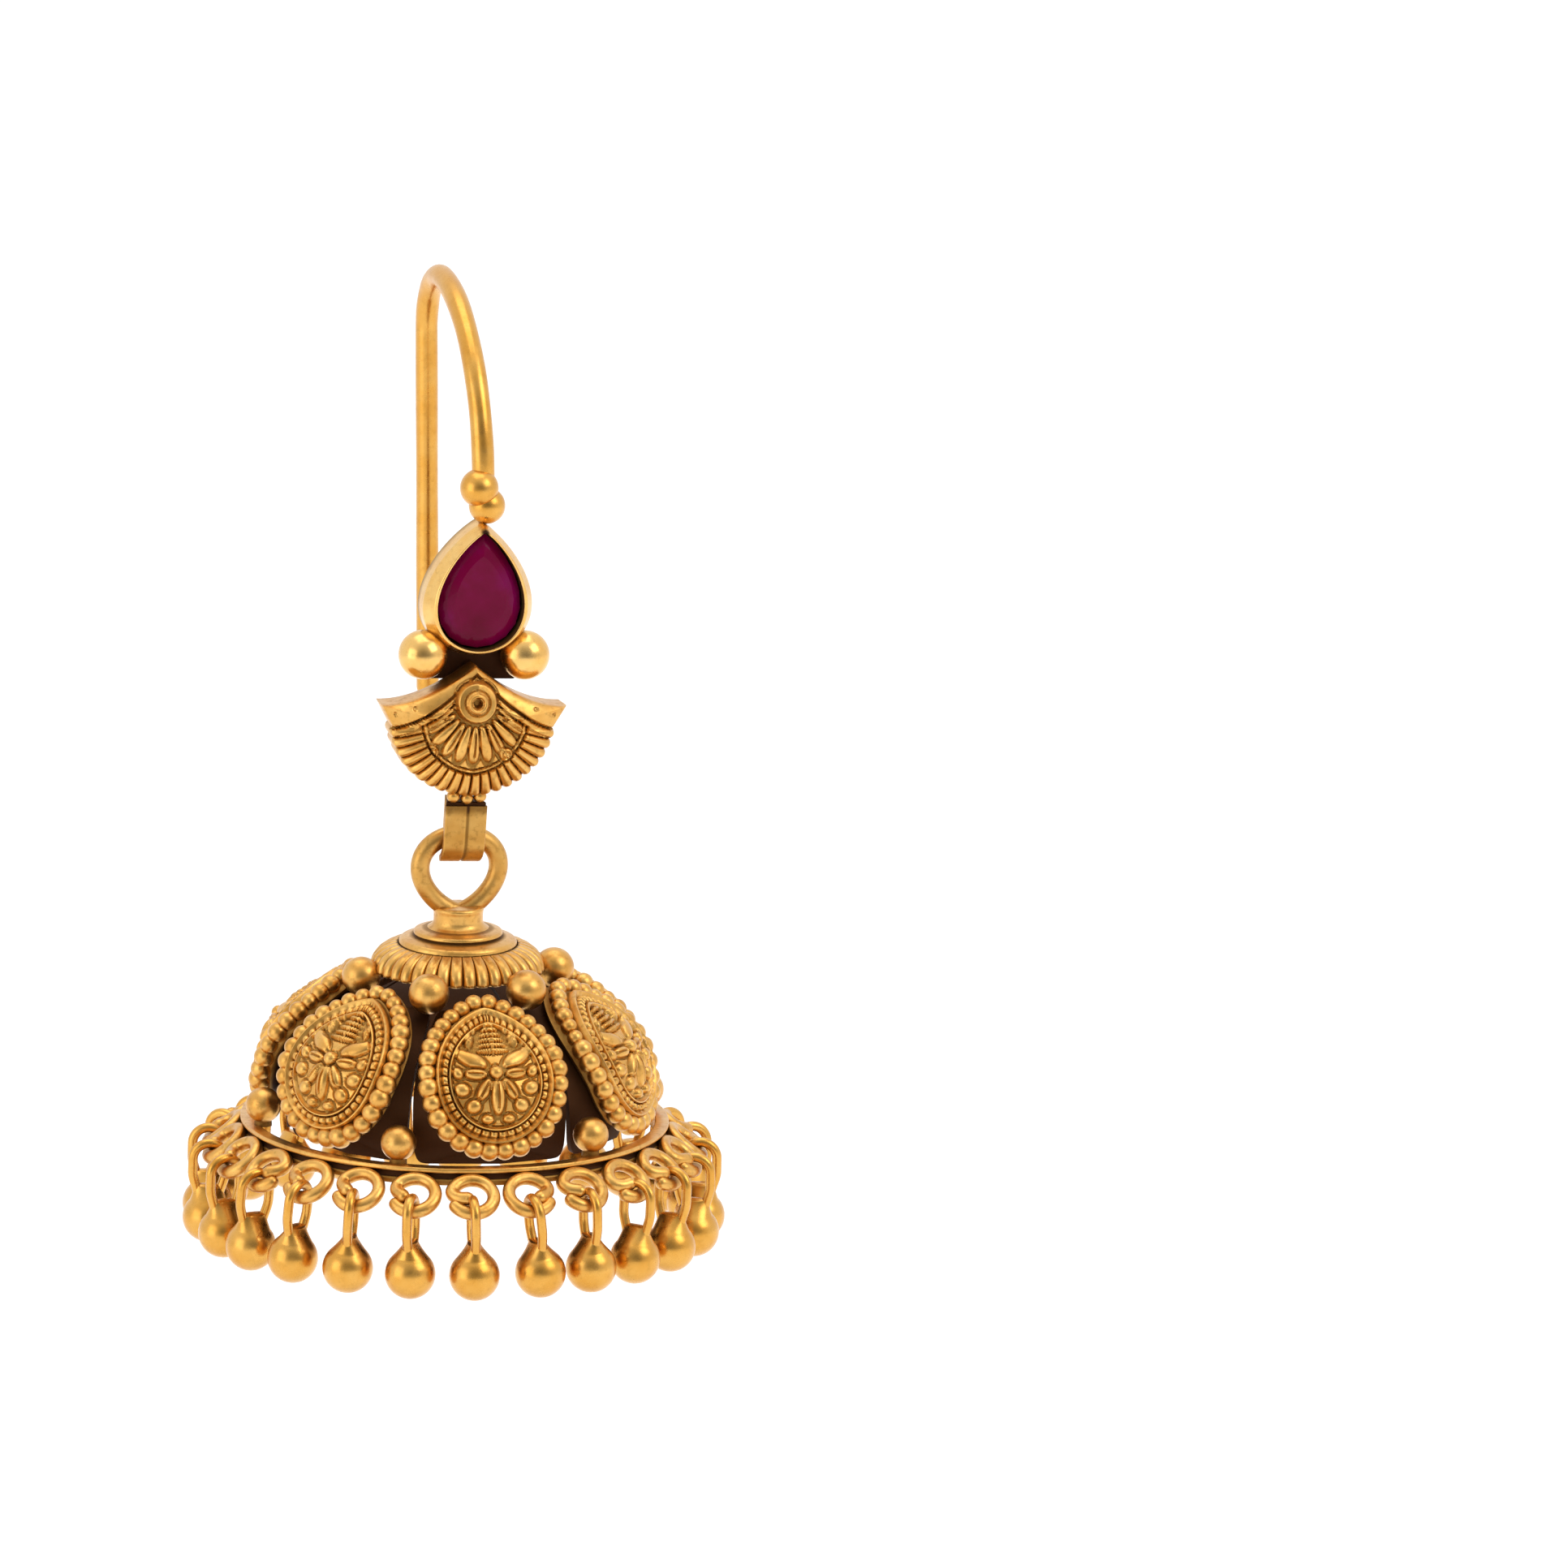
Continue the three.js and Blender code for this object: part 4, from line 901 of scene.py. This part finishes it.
def on_dome(across, up, depth, turn_deg):
    """Points on the bell: across and depth in mm, up as a share of the plaque's height."""
    share, radius, z, ahead, _ = DOME
    down = np.clip(0.5 - up, 0, 1)
    r, z_at = np.interp(down, share, radius), np.interp(down, share, z)
    ahead_r, ahead_z = np.interp(down, share, ahead[:, 0]), np.interp(down, share, ahead[:, 1])
    turn = math.radians(turn_deg) + across / r
    out = r + ahead_z * depth
    return np.stack([out * np.sin(turn), -out * np.cos(turn), z_at - ahead_r * depth], axis=-1)


def plaque_point(turn, share):
    """Across in mm and up as a share of the height, on a pear outline shrunk about its widest line."""
    outline = pear(turn, PLAQUE_TAPER)
    up = PLAQUE_WIDEST_UP + (outline[..., 1] - PLAQUE_WIDEST_UP) * share
    return outline[..., 0] * share * PLAQUE_W, up


def plaque_carving(x, z, reach, turn):
    """A flower under a stepped stem inside a ring of strokes and a line. reach runs from the middle
    to the outline."""
    carving = Carving(x, z)
    field = reach < FIELD_R
    for across, up, along, wide, turned, vein in MOTIF_LEAVES:
        for side in (-1, 1):
            degrees = turned if side > 0 else 180 - turned
            carving.oval(side * across, up, along, wide, degrees, 0.24, 0.06, vein)
    carving.oval(0, -0.72, 0.88, 0.32, -90, 0.27, 0.06, 0.06)
    for k in range(LADDER_BARS):
        carving.oval(0, 1.6 + 0.31 * k, 0.78 - 0.085 * k, 0.13, 0, 0.2, 0.05)
    carving.oval(0, 0.45, 0.33, 0.33, 0, 0.33)
    carving.rise = carving.rise * field
    carving.line = carving.line * field
    strokes = np.abs(np.sin(turn * STROKE_PAIRS)) ** 0.7
    carving.band(reach, INNER_LINE_R, 0.07, 0.14, 0.05)
    in_strokes = (reach > STROKES_FROM) & (reach < STROKES_TO)
    carving.rise = np.where(in_strokes, 0.16 * strokes * ridge(reach, STROKES_MIDDLE, 0.2), carving.rise)
    carving.line = np.where(in_strokes, smooth(0.5, 0.15, strokes), carving.line)
    carving.band(reach, OUTER_LINE_R, 0.1, 0.2, 0.06)
    return carving.surface(0.84, 0.6)


def backing(index, depth, turn, share=1.0):
    """A ring of points on the wall behind a plaque, which nearly meets its neighbours at share 1."""
    count = len(PLAQUE_TURNS)
    side = np.where(np.sin(turn) < 0, -1, 1)
    up = np.cos(turn) / 2 * BACKING_SHARE * share
    pitches = [step * (PLAQUE_TURNS[(index + step) % count] - PLAQUE_TURNS[index]) % 360
               for step in (-1, 1)]
    half_pitch = np.radians(np.where(side < 0, *pitches)) / 2
    radius = np.interp(0.5 - up, DOME[0], DOME[1])
    edge = radius * half_pitch - BACKING_GAP / 2
    across = side * edge * np.abs(np.sin(turn)) ** BACKING_SQUARENESS * share
    points = on_dome(across, up, depth, PLAQUE_TURNS[index])
    points[:, 2] -= BACKING_LOWER * smooth(0.25, 0.48, -up)
    return points


def plaque(index):
    """A carved pear on the dome, the wall behind it as one skin with it, and its border of beads."""
    turn_deg = PLAQUE_TURNS[index]
    columns, rows = 440, 66
    turn = full_turn(columns)
    share = np.linspace(0, 0.985, rows + 1)[1:]
    x, up = plaque_point(turn[None, :], share[:, None])
    z = (up - PLAQUE_WIDEST_UP) * PLAQUE_H
    s = share[:, None]
    reach = s * PLAQUE_W / 2 / CARVING_SCALE
    carved, gold_share = plaque_carving(x / CARVING_SCALE, z / CARVING_SCALE, reach, turn[None, :])
    ground = 0.2 + 0.42 * smooth(0.75, 0.88, s) + 0.3 * smooth(0.9, 0.985, s) - 0.12 * smooth(0.5, 0.0, s)
    gold_share = gold_share * (0.3 + 0.7 * smooth(0.82, 0.77, s))
    front = on_dome(x, up, ground - carved, turn_deg)
    hidden = [on_dome(*plaque_point(turn, part), depth, turn_deg)
              for part, depth in ((0.97, 1.1), (0.9, PLAQUE_T))]
    backing_front = PLAQUE_T + BACKING_BEHIND
    backing_rear = backing_front + BACKING_T
    hidden += [backing(index, depth, turn) for depth in (backing_front, backing_rear)]
    hidden += [backing(index, backing_rear, turn, part) for part in (0.75, 0.5, 0.25)]
    rings = np.concatenate([front, np.array(hidden)])
    # The plaque's sides and the wall behind it get height 0, the darkest tarnish colour: dark patina on the
    # wall, and painted shade in the gaps between plaques.
    height = np.concatenate([gold_share, np.zeros((len(hidden), columns))])
    start = on_dome(np.array(0.0), np.array(PLAQUE_WIDEST_UP), ground[0, 0] - carved[0, 0], turn_deg)
    end = on_dome(np.array(0.0), np.array(0.0), backing_rear, turn_deg)
    pieces = [skin(rings, height, start=start, end=end)]
    fine = np.linspace(0, TAU, 2000)
    bx, bup = plaque_point(fine, BORDER_SHARE)
    length = np.concatenate([[0], np.cumsum(np.hypot(np.diff(bx), np.diff(bup) * PLAQUE_H))])
    rng = np.random.default_rng(index)
    for k in range(BORDER_BEADS):
        at = np.interp((k + 0.5) / BORDER_BEADS * length[-1], length, fine)
        across, height_at = plaque_point(np.array(at), BORDER_SHARE)
        top = abs(at - math.pi) / math.pi
        size = BORDER_BEAD_R * (1.12 - 0.26 * top) * (1 + 0.06 * rng.standard_normal())
        pieces.append(sphere(size, on_dome(across, height_at, BORDER_DEPTH, turn_deg), 20, 12))
    return join(*pieces)


# Fringe

EYE_INNER_R = RIM_R + EYE_WIRE_D / 2 - EYE_OVERLAP
EYE_INNER_Z = RIM_TOP - EYE_BELOW_RIM_TOP
EYE_OUTER_R = EYE_INNER_R + 2 * EYE_R * math.cos(EYE_SLOPE)
EYE_OUTER_Z = EYE_INNER_Z - 2 * EYE_R * math.sin(EYE_SLOPE)


def fringe_turn(index):
    return turn_z(FRINGE_TURN_DEG + 360 * index / FRINGE_COUNT)


def eye(index):
    """A curl of thick wire, open low on one side, whose last stretch is tucked in towards its middle."""
    rng = np.random.default_rng(100 + index)
    hand = 1 if index % 5 else -1
    share = np.linspace(0, 1, 80)
    opening = math.radians(-90 - hand * (38 + 22 * rng.random()))
    turn = opening + hand * TAU * (0.98 + 0.08 * rng.random()) * share
    tucked = smooth(0.8, 1.0, share)
    radius = EYE_R * (1 - (0.42 + 0.2 * rng.random()) * tucked)
    flat = np.column_stack([EYE_WIDER * radius * np.cos(turn), radius * np.sin(turn), 0.25 * tucked])
    ring = tube(flat, EYE_WIRE_D / 2 * (1 + 0.04 * np.sin(9 * share)), (0, 0, 1), 18)
    place = (fringe_turn(index)
             @ Matrix.Translation((0, -(EYE_INNER_R + EYE_OUTER_R) / 2, (EYE_INNER_Z + EYE_OUTER_Z) / 2))
             @ Matrix.Rotation(EYE_SLOPE, 4, "X"))
    return moved(ring, place)


def rim_band():
    """The rim with its dark groove, the eyes soldered round it, and the granules on their stalks."""
    inner = RIM_R - RIM_WALL
    profile = rounded([
        (inner, RIM_TOP + 0.02), (RIM_R + 0.06, RIM_TOP + 0.02), (RIM_R + 0.08, RIM_TOP - 0.2),
        (RIM_R - 0.14, RIM_TOP - 0.27), (RIM_R - 0.14, RIM_TOP - 0.5), (RIM_R, RIM_TOP - 0.58),
        (RIM_R, RIM_TOP - RIM_H), (inner, RIM_TOP - RIM_H)], steps=4, size=0.07, closed=True)
    gold_share = np.where(profile[:, 1] > RIM_TOP - 0.22, 1.0, np.where(profile[:, 1] > RIM_TOP - 0.54, 0.0, 0.3))
    pieces = [lathe(profile, 300, height=gold_share, wrap=True)]
    pieces += [eye(index) for index in range(FRINGE_COUNT)]
    granule_at = RIM_R - LOWER_GRANULE_INSET
    granule_z = RIM_TOP + LOWER_GRANULE_R + LOWER_GRANULE_LIFT
    for index in range(LOWER_GRANULES):
        degrees = LOWER_GRANULE_TURN_DEG + 360 * index / LOWER_GRANULES
        pieces.append(granule(LOWER_GRANULE_R, granule_at, granule_z, degrees))
        stalk = lathe([(0, RIM_TOP + 0.6), (0.4, RIM_TOP + 0.6), (0.44, RIM_TOP - 0.05), (0, RIM_TOP - 0.06)],
                      24, height=0.2)
        pieces.append(moved(stalk, turn_z(degrees) @ Matrix.Translation((0, -granule_at, 0))))
    return join(*pieces)


def ball_drop(index):
    """A wire loop through an eye, and the ball below it, whose tip is drawn up into the loop."""
    turn = np.linspace(0, math.pi, 25)
    top = np.column_stack([LOOP_R * np.cos(turn), LOOP_R * np.sin(turn)])
    down = np.linspace(0, 1, 12)[1:]
    leg_y = -LOOP_LEG - LOOP_FOOT
    left = np.column_stack([-LOOP_R + (LOOP_R - LOOP_FOOT_HALF_W) * smooth(0.35, 1.0, down), leg_y * down])
    flat = np.vstack([top, left, (left * [-1, 1])[::-1]])
    path = np.column_stack([np.zeros(len(flat)), flat])
    loop = tube(path, LOOP_WIRE_D / 2, (1, 0, 0), 14, closed=True)
    meet = math.radians(47)
    meet_r, meet_z = BALL_R * math.sin(meet), BALL_R * math.cos(meet)
    rows = []
    for share in np.linspace(0, 1, 18):
        rows.append((BALL_TIP_W / 2 + (meet_r - BALL_TIP_W / 2) * share ** 1.25,
                     BALL_TIP_H / 2 + (meet_r - BALL_TIP_H / 2) * share ** 1.5,
                     BALL_TIP_ABOVE + (meet_z - BALL_TIP_ABOVE) * share))
    rows += [(BALL_R * math.sin(a), BALL_R * math.sin(a), BALL_R * math.cos(a))
             for a in np.linspace(meet, math.pi, 28)[1:-1]]
    rows = np.array([(rows[0][0] * 0.7, rows[0][1] * 0.85, BALL_TIP_ABOVE + 0.06), *rows])[:, :, None]
    around = full_turn(44)
    rings = np.stack([rows[:, 0] * np.cos(around), rows[:, 1] * np.sin(around),
                      rows[:, 2] + 0 * around], axis=-1)
    body = skin(rings, 1.0, start=(0, 0, BALL_TIP_ABOVE + 0.08), end=(0, 0, -BALL_R))
    body = moved(body, Matrix.Translation((0, 0, -BALL_BELOW_LOOP)))
    twist, sway = (math.radians(angle) for angle in DROP_HANGS[index % len(DROP_HANGS)])
    loop_above_eye = (EYE_WIRE_D + LOOP_WIRE_D) / 2 + LINK_CLEARANCE - LOOP_R
    place = (fringe_turn(index)
             @ Matrix.Translation((0, -EYE_OUTER_R, EYE_OUTER_Z + loop_above_eye))
             @ Matrix.Rotation(-sway, 4, "Y") @ Matrix.Rotation(twist, 4, "Z"))
    return moved(join(loop, body), place)


add_piece("cap", moved(drop_cap(), DROP), ANTIQUE, "drop", "antique_gold", "drop_cap")
for index in range(len(PLAQUE_TURNS)):
    add_piece(f"bell_plaque_{index + 1}", moved(plaque(index), DROP), ANTIQUE, "drop", "antique_gold",
              f"plaque_{index + 1}")
add_piece("rim", moved(rim_band(), DROP), ANTIQUE, "drop", "antique_gold", "rim_band")
for index in range(FRINGE_COUNT):
    add_piece(f"fringe_ball_{index + 1:02d}", moved(ball_drop(index), DROP), SATIN, "drop", "satin_gold",
              f"ball_drop_{index + 1:02d}")


# Floor, light and camera

FLOOR_Z = -75.0
FLOOR_SIZE = 6000.0
CAMERA_AZIMUTH_DEG = -14
CAMERA_ELEVATION_DEG = 14
CAMERA_DISTANCE = 1500.0
PHOTO_PIXELS = 1932
PIXELS_PER_MM = 25
FRAME_CENTRE_RIGHT = 16.816  # the photograph's middle from the origin, along the camera's right
FRAME_CENTRE_UP = -24.98  # and along the camera's up
OPENING_SHIFT = Vector((0.1, 0, -0.16))  # from the camera's own direction to the tent's opening
TENT_STOPS = [(0.0, 1.0), (0.5, 0.92), (0.82, 0.5), (0.96, 0.25)]  # towards the opening, how bright
BELL_MIDDLE = (-1.3, -8.5, -34)


def pale_floor():
    mesh = bpy.data.meshes.new("floor")
    half = FLOOR_SIZE / 2 * MM
    z = FLOOR_Z * MM
    corners = [(-half, -half, z), (half, -half, z), (half, half, z), (-half, half, z)]
    mesh.from_pydata(corners, [], [(0, 1, 2, 3)])
    material, _, _, surface = new_material("pale_floor")
    surface.inputs["Base Color"].default_value = (0.93, 0.93, 0.93, 1)
    surface.inputs["Roughness"].default_value = 0.9
    surface.inputs["Emission Color"].default_value = (1, 1, 1, 1)
    surface.inputs["Emission Strength"].default_value = 0.12
    mesh.materials.append(material)
    floor = add_object("floor", mesh)


def camera_axes():
    azimuth, elevation = math.radians(CAMERA_AZIMUTH_DEG), math.radians(CAMERA_ELEVATION_DEG)
    back = Vector((math.sin(azimuth) * math.cos(elevation), -math.cos(azimuth) * math.cos(elevation),
                   math.sin(elevation)))
    right = Vector((math.cos(azimuth), math.sin(azimuth), 0))
    return right, back.cross(right), back


def studio_camera():
    right, up, back = camera_axes()
    camera = bpy.data.cameras.new("camera")
    view_width = PHOTO_PIXELS / PIXELS_PER_MM
    camera.lens = camera.sensor_width * CAMERA_DISTANCE / view_width
    camera.clip_start = 0.01
    camera.clip_end = 20
    holder = add_object("camera", camera)
    middle = right * FRAME_CENTRE_RIGHT + up * FRAME_CENTRE_UP
    rotation = Matrix((right, up, back)).transposed().to_4x4()
    holder.matrix_world = Matrix.Translation((middle + back * CAMERA_DISTANCE) * MM) @ rotation
    bpy.context.scene.camera = holder


def area_light(name, place, target, size, power):
    light = bpy.data.lights.new(name, "AREA")
    light.shape = "SQUARE"
    light.size = size * MM
    light.energy = power
    holder = add_object(name, light)
    holder.location = Vector(place) * MM
    aim = (Vector(target) - Vector(place)).to_track_quat("-Z", "Y")
    holder.rotation_euler = aim.to_euler()


def light_tent():
    """A white tent that is dimmer on the camera's side, where its opening is."""
    world = bpy.data.worlds.new("tent")
    bpy.context.scene.world = world
    world.use_nodes = True
    nodes, links = world.node_tree.nodes, world.node_tree.links
    background = nodes["Background"]
    place = nodes.new("ShaderNodeTexCoord")
    toward = nodes.new("ShaderNodeVectorMath")
    toward.operation = "DOT_PRODUCT"
    _, _, back = camera_axes()
    toward.inputs[1].default_value = (back + OPENING_SHIFT).normalized()
    links.new(place.outputs["Generated"], toward.inputs[0])
    tent = ramp(nodes, links, toward.outputs["Value"], TENT_STOPS)
    links.new(tent, background.inputs["Color"])
    background.inputs["Strength"].default_value = 1.0


pale_floor()
studio_camera()
light_tent()
area_light("key", (260, -260, 260), BELL_MIDDLE, 260, 0.5)
area_light("fill", (-380, -160, 60), BELL_MIDDLE, 300, 0.3)
area_light("top", (0, 60, 420), BELL_MIDDLE, 360, 0.5)
bpy.context.scene.view_settings.view_transform = "Standard"
